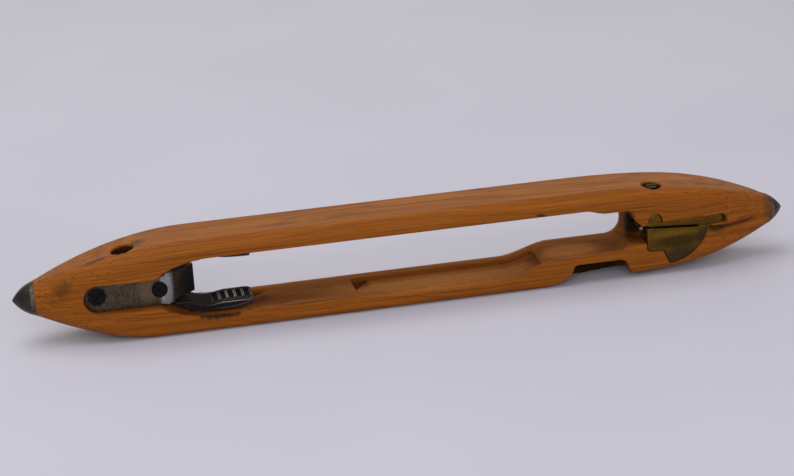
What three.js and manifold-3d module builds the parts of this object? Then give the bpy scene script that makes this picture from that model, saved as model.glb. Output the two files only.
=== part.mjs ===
// Loom shuttle that changes its bobbin and threads itself: a hardwood body with a steel point at each end,
// a sprung grip for the bobbin's ringed end, a steel cover strap with a bobbin guide, and a brass eye.
//
// Units are millimetres. X runs along the shuttle towards the eye, -Y is the top face, which takes the
// bobbin, and +Z is up. The shuttle lies on the outer side of its front wall, at Z = 0.
// The origin is below the middle of the shuttle, on the surface that it lies on.

import * as THREE from 'three';
import { mergeVertices } from 'three/addons/utils/BufferGeometryUtils.js';
import Module from 'manifold-3d';

const wasm = await Module();
wasm.setup();

// Names that end in In give how far something lies in from its end of the shuttle, Down how far below the
// top face, and Under how far below the back.

// Body block
const shuttleLength = 412;
const bodyWidth = 49.5;
const bodyDepth = 34;
const topBackRound = 7.5;
const topFrontRound = 4;
const bottomRound = 3.5;

// Where each side of the body starts to draw in to the steel points, and the power of its curve
const springFrontStartIn = 71;
const springFrontPower = 1.55;
const springBackStartIn = 94;
const springBackPower = 2.05;
const springTopStartIn = 54;
const springTopPower = 1.35;
const springBottomStartIn = 81;
const springBottomPower = 1.45;
const eyeFrontStartIn = 93;
const eyeFrontPower = 2.1;
const eyeBackStartIn = 136;
const eyeBackPower = 3.25;
const eyeTopStartIn = 55;
const eyeTopPower = 1.7;
const eyeBottomStartIn = 69;
const eyeBottomPower = 2.2;
const eyeFrontLift = 1.8;

// Steel points
const ogiveLength = 17;
const ogiveRadius = 9.8;
const noseRadius = 0.9;
const springTipShown = 11.8;
const eyeTipShown = 8.2;
const tipDrop = 0.75;
const tangRadius = 2.6;
const tangLength = 22;

// Bobbin well
const wellWidth = 31.9;
const frontWallDraft = 1.2;
const draftStartIn = 106;
const draftFullIn = 146;
const wellEndIn = 86;
const wellArchStartIn = 104.5;
const wellArchLength = 35.5;
const wellEndRound = 8.5;
const wellTopRound = 5;
const rampStartIn = 153;
const rampEndIn = 126;
const rampRise = 5.9;
const bulgeStartIn = 113;
const bulgeEndIn = 102;
const bulgeDrop = 2.4;

// Relief slots that let the jaws open into the walls
const reliefTopDown = 6.5;
const reliefBottomDown = 27.5;
const reliefSkew = 0.8;
const reliefDeep = 3.2;
const reliefRampStartIn = 124;
const reliefEndIn = 135;
const frontReliefStartIn = 88;
const backReliefStartIn = 83;

// Brush groove in the inner face of the front wall, with a three-sided pit at its left end
const grooveStartIn = 176.7;
const grooveEndIn = 137;
const grooveTopDown = 4.5;
const grooveBottomDown = 26.6;
const grooveDeep = 1.4;
const pitDeep = 1.8;
const pitLength = 9;
const pitAcross = 13;

// Cutter notch in the outer side of the front wall, cut in from the top face
const notchStartIn = 120.2;
const notchEndIn = 89.8;
const notchHeightOverWall = 2.6;
const notchSweepStartIn = 138;
const notchSweepTurnIn = 123;
const notchSweepTurnZ = 2.5;
const notchSweepEndIn = 120.5;
const notchSweepEndZ = 7.5;
const notchEndRound = 4.5;
const notchCornerRound = 3;
const notchDeep = 16;
const notchPlanRound = 8;

// Grip slot and cover strap
const slotDrop = 0.5;
const slotDeep = 26;
const strapWidth = 15.2;
const strapThick = 1.6;
const strapSunk = 5;
const strapEndIn = 43.8;
const strapBendIn = 77;
const strapCreaseIn = 81.6;
const strapCreaseDepth = 3.4;
const strapEarIn = 77.2;
const strapEarEndIn = 83.2;
const strapEarOut = 1.1;
const strapEarRound = 2;
const guideEndIn = 94;
const guideDepth = 14.3;

// Grip: spring, heel block and jaws
const springThick = 1.9;
const gripHalfDepth = 8.5;
const gripBelowStrap = 0.9;
const heelPastRoot = 3;
const jawRootIn = 75.4;
const jawTipIn = 123;
const jawArmIn = 79;
const jawArmEndIn = 99;
const jawArmRise = 3.3;
const jawFaceFullIn = 110;
const jawBellyIn = 107;
const jawBelly = 3.75;
const jawBellyLead = 9;
const jawTipThick = 1.3;
const jawTipRound = 0.6;
const jawCornerRound = 3;
const ribCount = 5;
const ribPitch = 4.15;
const ribHalfGap = 11.4;
const ribStep = 1.6;
const frontLean = 0;
const backLean = 1.8;
const ribGrooveRadius = 1.5;
const ribGrooveDeep = 1.3;
const ribRim = 2.3;
const ribShift = 0.9;
const ribToTip = 2.8;
const leadInDepth = 1.3;
const leadInHeight = 0.7;

// Fasteners of the grip
const boltIn = 58.2;
const boltYDown = 12.8;
const boltRadius = 2.8;
const boltHeadRadius = 5.2;
const boltHeadHigh = 3;
const washerThick = 1;
const counterboreRadius = 5.9;
const boltSeat = 11.6;
const outerRivetIn = 48;
const innerRivetIn = 69;
const rivetRadius = 1.5;
const starScrewIn = 42.8;
const starScrewRadius = 4.9;
const starScrewInner = 4.1;
const starPoints = 9;
const starHeadHigh = 1.2;
const roundScrewIn = 74.9;
const roundScrewRadius = 4.1;
const roundHeadHigh = 1.5;
const strapScrewRise = 0.9;
const strapShankRadius = 1.9;
const strapShankLength = 10;
const driverSlotWide = 0.9;
const driverSlotDeep = 0.7;
const boltSlotWide = 1.2;
const boltSlotDeep = 1;

// Brass eye
const eyeIn = 79.6;
const railEndIn = 37.4;
const railEndGap = 1;
const railLow = 25.2;
const railHigh = 29.4;
const railSunk = 0.8;
const railThick = 4;
const earIn = 75.1;
const earRadius = 3.4;
const earTop = 34.4;
const leafThick = 2.2;
const leafFootZ = 14;
const leafFootRound = 2.8;
const leafStepIn = 70.7;
const leafStepEndIn = 67.7;
const leafTipIn = 66.4;
const leafTipZ = 6.2;
const leafTipRound = 1.2;
const leafBellyIn = 58;
const leafEndIn = 45.1;
const leafEndLead = 3.6;
const eyeBlockEndIn = 52;
const eyeBlockLow = 15.5;
const eyeBlockDeep = 13;
const threadSlotStartZ = 27.3;
const threadSlotEndZ = 25.2;
const threadSlotWide = 0.9;
const threadSlotEndIn = 51;
const chamberEndIn = 55;
const chamberLow = 18.5;
const chamberHigh = 28;
const chamberRoof = 3;
const chamberDeep = 7;
const outletRadius = 1.2;
const outletDeep = 4.4;
const outletZ = 22;
const outletSlope = 0.22;
const outletLength = 12;

// Felt, tension leaf and its screw, inside the eye
const feltStartIn = 75;
const feltLength = 15;
const feltThick = 2;
const tensionLength = 19;
const tensionThick = 0.5;
const tensionWidth = 7;
const tensionSeatLength = 4.6;
const leafScrewInset = 2.4;
const leafScrewRadius = 0.9;
const leafScrewLength = 4.2;
const leafScrewHeadRadius = 1.7;
const leafScrewHeadHigh = 0.8;

// Thread pocket and guide pin
const pocketDeep = 24.5;
const pocketMouthIn = 93;
const pocketLow = 18.6;
const pocketHigh = 38.4;
const pocketNeck = 28.4;
const pocketNeckDeep = 13;
const guidePinIn = 82.6;
const guidePinZ = 27;
const guidePinRadius = 0.9;
const guidePinSunk = 1.5;
const guidePinSeatDown = 25;

// Screw that holds the eye
const eyeScrewIn = 74.4;
const eyeScrewYDown = 10;
const eyeScrewBore = 5.3;
const eyeScrewRadius = 1.5;
const eyeScrewHeadRadius = 3.2;
const eyeScrewHeadHigh = 2.6;
const eyeScrewSeatUnder = 5.3;
const eyeScrewOverChamber = 1.6;

// Thread groove from the eye towards the point, below a ledge
const ledgeStartIn = 49;
const ledgeDipZ = 22;
const ledgeTurnIn = 23;
const ledgeEndIn = 14;
const ledgeEndZ = 27;
const scoopIn = 35;
const scoopZ = 24;
const scoopHalfLength = 27;
const scoopHalfHeight = 17;
const scoopHalfDepth = 6;
const scoopDeep = 3;
const scoopTurn = 0.19;

// Fits
const clearance = 0.3;
const round = 24;

// Places worked out from the sizes above
const springEnd = -shuttleLength / 2;
const eyeEnd = shuttleLength / 2;
const topFace = -bodyDepth / 2;
const frontWall = (bodyWidth - wellWidth) / 2;
const backWall = frontWall;
const springFrontStart = springEnd + springFrontStartIn;
const springBackStart = springEnd + springBackStartIn;
const springTopStart = springEnd + springTopStartIn;
const springBottomStart = springEnd + springBottomStartIn;
const eyeFrontStart = eyeEnd - eyeFrontStartIn;
const eyeBackStart = eyeEnd - eyeBackStartIn;
const eyeTopStart = eyeEnd - eyeTopStartIn;
const eyeBottomStart = eyeEnd - eyeBottomStartIn;
const draftStart = springEnd + draftStartIn;
const draftFull = springEnd + draftFullIn;
const wellEnd = eyeEnd - wellEndIn;
const wellArchStart = springEnd + wellArchStartIn;
const rampStart = eyeEnd - rampStartIn;
const rampEnd = eyeEnd - rampEndIn;
const bulgeStart = eyeEnd - bulgeStartIn;
const bulgeEnd = eyeEnd - bulgeEndIn;
const reliefTop = topFace + reliefTopDown;
const reliefBottom = topFace + reliefBottomDown;
const reliefRampStart = springEnd + reliefRampStartIn;
const reliefEnd = springEnd + reliefEndIn;
const frontReliefStart = springEnd + frontReliefStartIn;
const backReliefStart = springEnd + backReliefStartIn;
const grooveStart = springEnd + grooveStartIn;
const grooveEnd = eyeEnd - grooveEndIn;
const grooveTop = topFace + grooveTopDown;
const grooveBottom = topFace + grooveBottomDown;
const notchStart = eyeEnd - notchStartIn;
const notchEnd = eyeEnd - notchEndIn;
const notchHeight = frontWall + notchHeightOverWall;
const notchSweepStart = eyeEnd - notchSweepStartIn;
const notchSweepTurnX = eyeEnd - notchSweepTurnIn;
const notchSweepEndX = eyeEnd - notchSweepEndIn;
const strapEndX = springEnd + strapEndIn;
const strapBendX = springEnd + strapBendIn;
const strapCreaseX = springEnd + strapCreaseIn;
const strapEarX = springEnd + strapEarIn;
const strapEarEndX = springEnd + strapEarEndIn;
const guideEndX = springEnd + guideEndIn;
const jawRootX = springEnd + jawRootIn;
const jawTipX = springEnd + jawTipIn;
const jawArmX = springEnd + jawArmIn;
const jawArmEnd = springEnd + jawArmEndIn;
const jawFaceFull = springEnd + jawFaceFullIn;
const jawBellyX = springEnd + jawBellyIn;
const boltX = springEnd + boltIn;
const boltY = topFace + boltYDown;
const outerRivetX = springEnd + outerRivetIn;
const innerRivetX = springEnd + innerRivetIn;
const starScrewX = springEnd + starScrewIn;
const roundScrewX = springEnd + roundScrewIn;
const eyeX = eyeEnd - eyeIn;
const railEnd = eyeEnd - railEndIn;
const earX = eyeEnd - earIn;
const leafStepX = eyeEnd - leafStepIn;
const leafStepEndX = eyeEnd - leafStepEndIn;
const leafTipX = eyeEnd - leafTipIn;
const leafBellyX = eyeEnd - leafBellyIn;
const leafEndX = eyeEnd - leafEndIn;
const eyeBlockEnd = eyeEnd - eyeBlockEndIn;
const threadSlotEnd = eyeEnd - threadSlotEndIn;
const chamberEnd = eyeEnd - chamberEndIn;
const feltStart = eyeEnd - feltStartIn;
const pocketMouthX = eyeEnd - pocketMouthIn;
const guidePinX = eyeEnd - guidePinIn;
const guidePinSeat = topFace + guidePinSeatDown;
const eyeScrewX = eyeEnd - eyeScrewIn;
const eyeScrewY = topFace + eyeScrewYDown;
const eyeScrewSeat = bodyWidth - eyeScrewSeatUnder;
const eyeScrewEnd = chamberHigh + eyeScrewOverChamber;
const ledgeStartX = eyeEnd - ledgeStartIn;
const ledgeTurnX = eyeEnd - ledgeTurnIn;
const ledgeEndX = eyeEnd - ledgeEndIn;
const scoopX = eyeEnd - scoopIn;
const bottomFace = bodyDepth / 2;
const axisZ = bodyWidth / 2;
const tipZ = axisZ - tipDrop;
const springRingX = springEnd + springTipShown;
const eyeRingX = eyeEnd - eyeTipShown;
const slotZ = axisZ - slotDrop;
const slotHalf = strapWidth / 2 + clearance;
const slotFloor = topFace + slotDeep;
const strapTop = topFace + strapSunk;
const strapUnder = strapTop + strapThick;
const strapScrewZ = slotZ + strapScrewRise;
const gripTop = strapUnder + gripBelowStrap;
const gripDrop = gripTop + gripHalfDepth;
const gripBottom = gripDrop + gripHalfDepth;
const springOuter = slotHalf - clearance;
const springInner = springOuter - springThick;
const springTurnX = strapEndX + 1;
const heelHalf = springInner - clearance;
const earHalf = strapWidth / 2 + strapEarOut;
const chamberTop = topFace + chamberRoof;
const chamberFloor = chamberTop + chamberDeep;
const chamberZ = (chamberLow + chamberHigh) / 2;
const feltTop = chamberFloor - clearance - feltThick;
const tensionUnder = feltTop - clearance;
const tensionTop = tensionUnder - tensionThick;
const leafScrewX = chamberEnd - leafScrewInset;
const beyond = 5;

// Turns a closed geometry into a solid that can be cut and joined.
function solidOf(geometry) {
  const bare = geometry.index ? geometry.toNonIndexed() : geometry.clone();
  bare.deleteAttribute('normal');
  bare.deleteAttribute('uv');
  const merged = mergeVertices(bare, 1e-4);
  return new wasm.Manifold(new wasm.Mesh({
    numProp: 3,
    vertProperties: new Float32Array(merged.attributes.position.array),
    triVerts: new Uint32Array(merged.index.array),
  }));
}

// Turns a solid back into a geometry for a mesh.
function geometryOf(solid) {
  const { numProp, vertProperties, triVerts } = solid.getMesh();
  const geometry = new THREE.BufferGeometry();
  const position = [];
  for (let i = 0; i < vertProperties.length; i += numProp) {
    position.push(vertProperties[i], vertProperties[i + 1], vertProperties[i + 2]);
  }
  geometry.setAttribute('position', new THREE.Float32BufferAttribute(position, 3));
  geometry.setIndex(Array.from(triVerts));
  geometry.computeVertexNormals();
  return geometry;
}

// An outline drawn in X and Z, pulled through the depth from yLow to yHigh.
function prismAlongY(shape, yLow, yHigh, segments = round / 2) {
  const geometry = new THREE.ExtrudeGeometry(shape, {
    depth: yHigh - yLow,
    bevelEnabled: false,
    curveSegments: segments,
  });
  return geometry.rotateX(Math.PI / 2).translate(0, yHigh, 0);
}

// An outline drawn in X and Y, pulled upwards from zLow to zHigh.
function prismAlongZ(shape, zLow, zHigh, segments = round / 2) {
  const geometry = new THREE.ExtrudeGeometry(shape, {
    depth: zHigh - zLow,
    bevelEnabled: false,
    curveSegments: segments,
  });
  return geometry.translate(0, 0, zLow);
}

// A box between two corners.
function boxBetween(low, high) {
  const size = high.map((value, k) => value - low[k]);
  const middle = high.map((value, k) => (value + low[k]) / 2);
  return new THREE.BoxGeometry(...size).translate(...middle);
}

// A turned piece whose profile lists [radius, height] along its own axis.
function turned(profile, segments = round) {
  return new THREE.LatheGeometry(profile.map(([r, h]) => new THREE.Vector2(r, h)), segments);
}

// A plain round bar that stands on the origin and rises along its own axis.
function bar(radius, length, segments = round) {
  return turned([[0, 0], [radius, 0], [radius, length], [0, length]], segments);
}

// Lays a turned piece along X, towards the eye.
function alongX(geometry) {
  return geometry.rotateZ(-Math.PI / 2);
}

// Stands a turned piece up along Z.
function alongZ(geometry) {
  return geometry.rotateX(Math.PI / 2);
}

function rectangle(xLow, yLow, xHigh, yHigh) {
  const shape = new THREE.Shape();
  shape.moveTo(xLow, yLow);
  shape.lineTo(xHigh, yLow);
  shape.lineTo(xHigh, yHigh);
  shape.lineTo(xLow, yHigh);
  shape.closePath();
  return shape;
}

// A rectangle with all four corners rounded.
function roundedBar(xLow, yLow, xHigh, yHigh, r) {
  const shape = new THREE.Shape();
  shape.moveTo(xLow + r, yLow);
  shape.absarc(xHigh - r, yLow + r, r, -Math.PI / 2, 0, false);
  shape.absarc(xHigh - r, yHigh - r, r, 0, Math.PI / 2, false);
  shape.absarc(xLow + r, yHigh - r, r, Math.PI / 2, Math.PI, false);
  shape.absarc(xLow + r, yLow + r, r, Math.PI, Math.PI * 1.5, false);
  shape.closePath();
  return shape;
}

function mix(from, to, share) {
  return from + (to - from) * share;
}

// How far a side has drawn in at x: 0 where it starts, 1 at the steel.
function drawnIn(x, start, end, power) {
  return THREE.MathUtils.clamp((x - start) / (end - start), 0, 1) ** power;
}

// Radius of a steel point at a distance from its nose: a round-sided ogive.
function ogive(distance) {
  const arc = (ogiveRadius ** 2 + ogiveLength ** 2) / (2 * ogiveRadius);
  const off = ogiveLength - distance;
  return Math.sqrt(arc * arc - off * off) - (arc - ogiveRadius);
}

// The four sides and corner rounds of the body's section at x.
function sectionAt(x) {
  const springSide = x < 0;
  const ring = springSide ? springRingX : eyeRingX;
  const radius = ogive(springSide ? springTipShown : eyeTipShown);
  const front = springSide
    ? drawnIn(x, springFrontStart, ring, springFrontPower)
    : drawnIn(x, eyeFrontStart, ring, eyeFrontPower);
  const back = springSide
    ? drawnIn(x, springBackStart, ring, springBackPower)
    : drawnIn(x, eyeBackStart, ring, eyeBackPower);
  const top = springSide
    ? drawnIn(x, springTopStart, ring, springTopPower)
    : drawnIn(x, eyeTopStart, ring, eyeTopPower);
  const bottom = springSide
    ? drawnIn(x, springBottomStart, ring, springBottomPower)
    : drawnIn(x, eyeBottomStart, ring, eyeBottomPower);
  const lift = eyeFrontLift * THREE.MathUtils.smoothstep(x, notchStart, notchEnd);
  const fullRound = 0.97 * radius;
  return {
    zLow: mix(lift, tipZ - radius, front),
    zHigh: mix(bodyWidth, tipZ + radius, back),
    yLow: mix(topFace, -radius, top),
    yHigh: mix(bottomFace, radius, bottom),
    rounds: [topFrontRound, bottomRound, bottomRound, topBackRound].map((r) => mix(r, fullRound, back)),
  };
}

// The body's outside without any cut, drawn in all round by inset.
function bodyOutside(inset = 0) {
  const cornerSteps = 6;
  const taperSteps = 16;
  const stations = [];
  for (let i = 0; i <= taperSteps; i += 1) {
    stations.push(mix(springRingX, springBackStart, i / taperSteps));
  }
  stations.push(0);
  for (let i = 0; i <= taperSteps; i += 1) {
    stations.push(mix(eyeBackStart, eyeRingX, i / taperSteps));
  }
  const position = [];
  for (const x of stations) {
    const { zLow, zHigh, yLow, yHigh, rounds } = sectionAt(x);
    const corners = [
      { y: yLow, z: zLow, inY: 1, inZ: 1 },
      { y: yHigh, z: zLow, inY: -1, inZ: 1 },
      { y: yHigh, z: zHigh, inY: -1, inZ: -1 },
      { y: yLow, z: zHigh, inY: 1, inZ: -1 },
    ];
    corners.forEach((corner, k) => {
      const r = Math.max(rounds[k] - inset, 0.5);
      const centreY = corner.y + corner.inY * (r + inset);
      const centreZ = corner.z + corner.inZ * (r + inset);
      for (let i = 0; i <= cornerSteps; i += 1) {
        const angle = Math.PI + (k + i / cornerSteps) * Math.PI / 2;
        position.push(x, centreY + r * Math.cos(angle), centreZ + r * Math.sin(angle));
      }
    });
  }
  const around = 4 * (cornerSteps + 1);
  const index = [];
  for (let s = 0; s + 1 < stations.length; s += 1) {
    for (let i = 0; i < around; i += 1) {
      const a = s * around + i;
      const b = s * around + (i + 1) % around;
      index.push(a, b, b + around, a, b + around, a + around);
    }
  }
  const last = (stations.length - 1) * around;
  for (let i = 1; i + 1 < around; i += 1) {
    index.push(0, i + 1, i);
    index.push(last, last + i, last + i + 1);
  }
  const geometry = new THREE.BufferGeometry();
  geometry.setAttribute('position', new THREE.Float32BufferAttribute(position, 3));
  geometry.setIndex(index);
  return geometry;
}

// Height of the front wall's inner face at x, along the ramp that makes room for the cutter notch.
function wallFace(x) {
  const t = THREE.MathUtils.smoothstep(x, rampStart, rampEnd);
  return frontWall + rampRise * t;
}

// The bobbin well, right through the body.
function bobbinWell() {
  const steps = 10;
  const high = bodyWidth - backWall;
  const shape = new THREE.Shape();
  shape.moveTo(wellArchStart, frontWall);
  shape.lineTo(draftStart, frontWall);
  shape.lineTo(draftFull, frontWall);
  for (let i = 0; i <= steps; i += 1) {
    const x = mix(rampStart, rampEnd, i / steps);
    shape.lineTo(x, wallFace(x));
  }
  const low = frontWall + rampRise;
  shape.lineTo(wellEnd - wellEndRound, low);
  shape.absarc(wellEnd - wellEndRound, low + wellEndRound, wellEndRound, -Math.PI / 2, 0, false);
  shape.absarc(wellEnd - wellTopRound, high - bulgeDrop - wellTopRound, wellTopRound, 0, Math.PI / 2, false);
  for (let i = steps; i >= 0; i -= 1) {
    const x = mix(bulgeStart, bulgeEnd, i / steps);
    shape.lineTo(x, high - bulgeDrop * THREE.MathUtils.smoothstep(x, bulgeStart, bulgeEnd));
  }
  shape.lineTo(wellArchStart, high);
  shape.absellipse(wellArchStart, axisZ, wellArchLength, high - axisZ, Math.PI / 2, Math.PI * 1.5, false);
  const geometry = prismAlongY(shape, topFace - beyond, bottomFace + beyond, round);
  const position = geometry.attributes.position;
  for (let i = 0; i < position.count; i += 1) {
    if (position.getZ(i) < axisZ) {
      const towardsFace = (bottomFace - position.getY(i)) / bodyDepth;
      const along = THREE.MathUtils.smoothstep(position.getX(i), draftStart, draftFull);
      position.setZ(i, position.getZ(i) + frontWallDraft * towardsFace * along);
    }
  }
  return solidOf(geometry);
}

// Outline along X with straight sides and one round end, which is centred on endX in the slot's middle.
function slotPlan(half, endX, openX) {
  const shape = new THREE.Shape();
  shape.moveTo(openX, slotZ + half);
  shape.lineTo(endX, slotZ + half);
  shape.absarc(endX, slotZ, half, Math.PI / 2, Math.PI * 1.5, false);
  shape.lineTo(openX, slotZ - half);
  shape.closePath();
  return shape;
}

function gripSlot() {
  return solidOf(prismAlongY(slotPlan(slotHalf, strapEndX, wellArchStart), topFace - beyond, slotFloor));
}

// Slot in the inner face of a wall, which gives the jaw room to open. side is -1 for the front wall.
// skew is how far its sloping end leans along X for each millimetre across.
function jawRelief(side, start, skew) {
  const face = wellWidth / 2;
  const shape = new THREE.Shape();
  shape.moveTo(start, face - reliefDeep);
  shape.lineTo(reliefEnd + reliefDeep, face - reliefDeep);
  shape.lineTo(reliefEnd, face);
  shape.lineTo(reliefRampStart, face + reliefDeep);
  shape.lineTo(start + reliefDeep, face + reliefDeep);
  shape.closePath();
  const geometry = prismAlongY(shape, reliefTop, reliefBottom);
  const position = geometry.attributes.position;
  for (let i = 0; i < position.count; i += 1) {
    if (position.getX(i) > start + reliefDeep) {
      position.setX(i, position.getX(i) - skew * (reliefBottom - position.getY(i)));
    }
  }
  return solidOf(geometry)
    .scale([1, 1, side])
    .translate([0, 0, axisZ]);
}

// Shallow groove along the inner face of the front wall, which follows the ramp.
function brushGroove() {
  const steps = 6;
  const shape = new THREE.Shape();
  shape.moveTo(grooveStart, frontWall + grooveDeep + frontWallDraft);
  shape.lineTo(grooveStart, frontWall - grooveDeep);
  for (let i = 0; i <= steps; i += 1) {
    const x = mix(rampStart, grooveEnd, i / steps);
    shape.lineTo(x, wallFace(x) - grooveDeep);
  }
  for (let i = steps; i >= 0; i -= 1) {
    const x = mix(rampStart, grooveEnd, i / steps);
    shape.lineTo(x, wallFace(x) + grooveDeep + frontWallDraft);
  }
  return solidOf(prismAlongY(shape, grooveTop, grooveBottom));
}

// Pit in the corner of the brush groove's left end, where the brush is pegged.
function brushPit() {
  const floor = frontWall - grooveDeep;
  const corner = grooveBottom - clearance;
  const pit = new THREE.Shape([
    new THREE.Vector2(grooveStart + clearance, corner),
    new THREE.Vector2(grooveStart + clearance, corner - pitAcross),
    new THREE.Vector2(grooveStart + pitLength, corner),
  ]);
  return solidOf(prismAlongZ(pit, floor - pitDeep, frontWall));
}

// Notch in the outer side of the front wall, with a long sweep at its left end. It runs in from the top
// face to about half the depth, and its inner corners are as round as the cutter.
function cutterNotch() {
  const left = notchSweepStart - beyond;
  const right = notchEnd + notchEndRound;
  const inner = topFace + notchDeep;
  const plan = new THREE.Shape();
  plan.moveTo(left, topFace - beyond);
  plan.lineTo(right, topFace - beyond);
  plan.absarc(right - notchPlanRound, inner - notchPlanRound, notchPlanRound, 0, Math.PI / 2, false);
  plan.lineTo(left, inner);
  plan.closePath();
  const shape = new THREE.Shape();
  shape.moveTo(notchSweepStart, -beyond);
  shape.lineTo(notchSweepStart, 0);
  shape.quadraticCurveTo(notchSweepTurnX, notchSweepTurnZ, notchSweepEndX, notchSweepEndZ);
  shape.lineTo(notchStart, notchHeight - notchCornerRound);
  shape.absarc(
    notchStart + notchCornerRound, notchHeight - notchCornerRound, notchCornerRound,
    Math.PI, Math.PI / 2, true,
  );
  shape.lineTo(notchEnd - 2 * notchCornerRound, notchHeight);
  shape.quadraticCurveTo(
    notchEnd - notchCornerRound, notchHeight, notchEnd - notchCornerRound / 2, notchHeight - notchCornerRound / 2,
  );
  shape.lineTo(notchEnd, eyeFrontLift + notchEndRound);
  shape.absarc(
    notchEnd + notchEndRound, eyeFrontLift + notchEndRound, notchEndRound, Math.PI, Math.PI * 1.5, false,
  );
  shape.lineTo(notchEnd + notchEndRound, -beyond);
  shape.closePath();
  return solidOf(prismAlongY(shape, topFace - beyond, bottomFace))
    .intersect(solidOf(prismAlongZ(plan, -beyond, notchHeight + beyond)));
}

// A straight-sided funnel between two upright rectangles, given as [x, yLow, yHigh, zLow, zHigh].
function funnel(start, end) {
  const position = [];
  for (const [x, yLow, yHigh, zLow, zHigh] of [start, end]) {
    position.push(x, yLow, zLow, x, yHigh, zLow, x, yHigh, zHigh, x, yLow, zHigh);
  }
  const index = [0, 2, 1, 0, 3, 2, 4, 5, 6, 4, 6, 7];
  for (let i = 0; i < 4; i += 1) {
    const j = (i + 1) % 4;
    index.push(i, j, j + 4, i, j + 4, i + 4);
  }
  const geometry = new THREE.BufferGeometry();
  geometry.setAttribute('position', new THREE.Float32BufferAttribute(position, 3));
  geometry.setIndex(index);
  return solidOf(geometry);
}

// Pocket that leads the thread from the well into the eye.
function threadPocket() {
  const above = topFace - beyond;
  const mouth = [pocketMouthX, above, topFace + pocketDeep, pocketLow, pocketHigh];
  const neck = [guidePinX, above, topFace + pocketNeckDeep, pocketLow, pocketNeck + clearance];
  const inside = [eyeX + clearance, above, topFace + pocketNeckDeep, pocketLow, pocketNeck];
  return funnel(mouth, neck).add(funnel(neck, inside));
}

// Long shallow groove that takes the thread from the eye towards the point. It is deepest along its upper
// side, which is a ledge, and runs out towards the front wall's side and both ends.
function threadScoop() {
  const ledge = new THREE.Shape();
  ledge.moveTo(ledgeStartX, railLow);
  ledge.bezierCurveTo(railEnd, ledgeDipZ, ledgeTurnX, ledgeDipZ, ledgeEndX, ledgeEndZ);
  ledge.lineTo(ledgeEndX, 0);
  ledge.lineTo(ledgeStartX, 0);
  ledge.closePath();
  const hollow = new THREE.SphereGeometry(1, round, round)
    .scale(scoopHalfLength, scoopHalfDepth, scoopHalfHeight)
    .rotateZ(scoopTurn)
    .translate(scoopX, sectionAt(scoopX).yLow + scoopDeep - scoopHalfDepth, scoopZ);
  return solidOf(prismAlongY(ledge, topFace - beyond, 0)).intersect(solidOf(hollow));
}

// Thread's way out of the chamber, below the leaf and rising into the scoop.
function threadOutlet() {
  const geometry = alongX(bar(outletRadius, outletLength, round / 2))
    .rotateZ(-outletSlope)
    .translate(chamberEnd - 1, topFace + outletDeep, outletZ);
  return solidOf(geometry);
}

// Outline of the brass leaf on the top face, grown all round by grow.
function leafOutline(grow) {
  const left = eyeX - grow;
  const foot = leafFootZ - grow;
  const tip = leafTipZ - grow;
  const stepEnd = leafStepEndX - grow;
  const shape = new THREE.Shape();
  shape.moveTo(left, railLow + grow);
  shape.lineTo(left, foot + leafFootRound);
  shape.quadraticCurveTo(left, foot, left + leafFootRound, foot);
  shape.lineTo(leafStepX - grow, foot);
  shape.lineTo(stepEnd, tip + leafTipRound);
  shape.quadraticCurveTo(stepEnd, tip, leafTipX, tip);
  shape.bezierCurveTo(
    leafBellyX + grow, tip + leafTipRound, leafEndX - leafEndLead + grow, foot - grow,
    leafEndX + grow, railLow,
  );
  shape.lineTo(leafEndX + grow, railLow + grow);
  shape.closePath();
  return shape;
}

// Outline of the rail along the back edge of the eye, with its round end.
function railOutline(grow) {
  const half = (railHigh - railLow) / 2 + grow;
  const middle = (railHigh + railLow) / 2;
  const end = railEnd - half + (grow > 0 ? grow + railEndGap : 0);
  const shape = new THREE.Shape();
  shape.moveTo(eyeX - grow, middle + half);
  shape.lineTo(eyeX - grow, middle - half);
  shape.lineTo(end, middle - half);
  shape.absarc(end, middle, half, -Math.PI / 2, Math.PI / 2, false);
  shape.closePath();
  return shape;
}

// Outline of the half-round ear that takes the eye's screw.
function earOutline(grow) {
  const r = earRadius + grow;
  const centre = earTop - earRadius;
  const shape = new THREE.Shape();
  shape.moveTo(earX + r, railLow);
  shape.lineTo(earX + r, centre);
  shape.absarc(earX, centre, r, 0, Math.PI, false);
  shape.lineTo(earX - r, railLow);
  shape.closePath();
  return shape;
}

// Everything that the eye fills, grown by grow: the same values make the casting and its seat in the wood.
function eyeSpace(grow) {
  const above = topFace - beyond;
  const block = rectangle(eyeX - grow, eyeBlockLow - grow, eyeBlockEnd + grow, railHigh + grow);
  const leaf = solidOf(prismAlongY(leafOutline(grow), above, 0))
    .subtract(solidOf(bodyOutside(leafThick + grow)));
  return leaf
    .add(solidOf(prismAlongY(railOutline(grow), above, topFace + railThick + grow)))
    .add(solidOf(prismAlongY(earOutline(grow), above, topFace + eyeBlockDeep + grow)))
    .add(solidOf(prismAlongY(block, above, topFace + eyeBlockDeep + grow)));
}

// A round hole through the body along Z at x and y, from zLow to zHigh.
function holeAlongZ(x, y, radius, zLow, zHigh) {
  return solidOf(alongZ(bar(radius, zHigh - zLow)).translate(x, y, zLow));
}

// A hole along Y at x and z, from yLow to yHigh.
function holeAlongY(x, z, radius, yLow, yHigh) {
  return solidOf(bar(radius, yHigh - yLow).translate(x, yLow, z));
}

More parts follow.
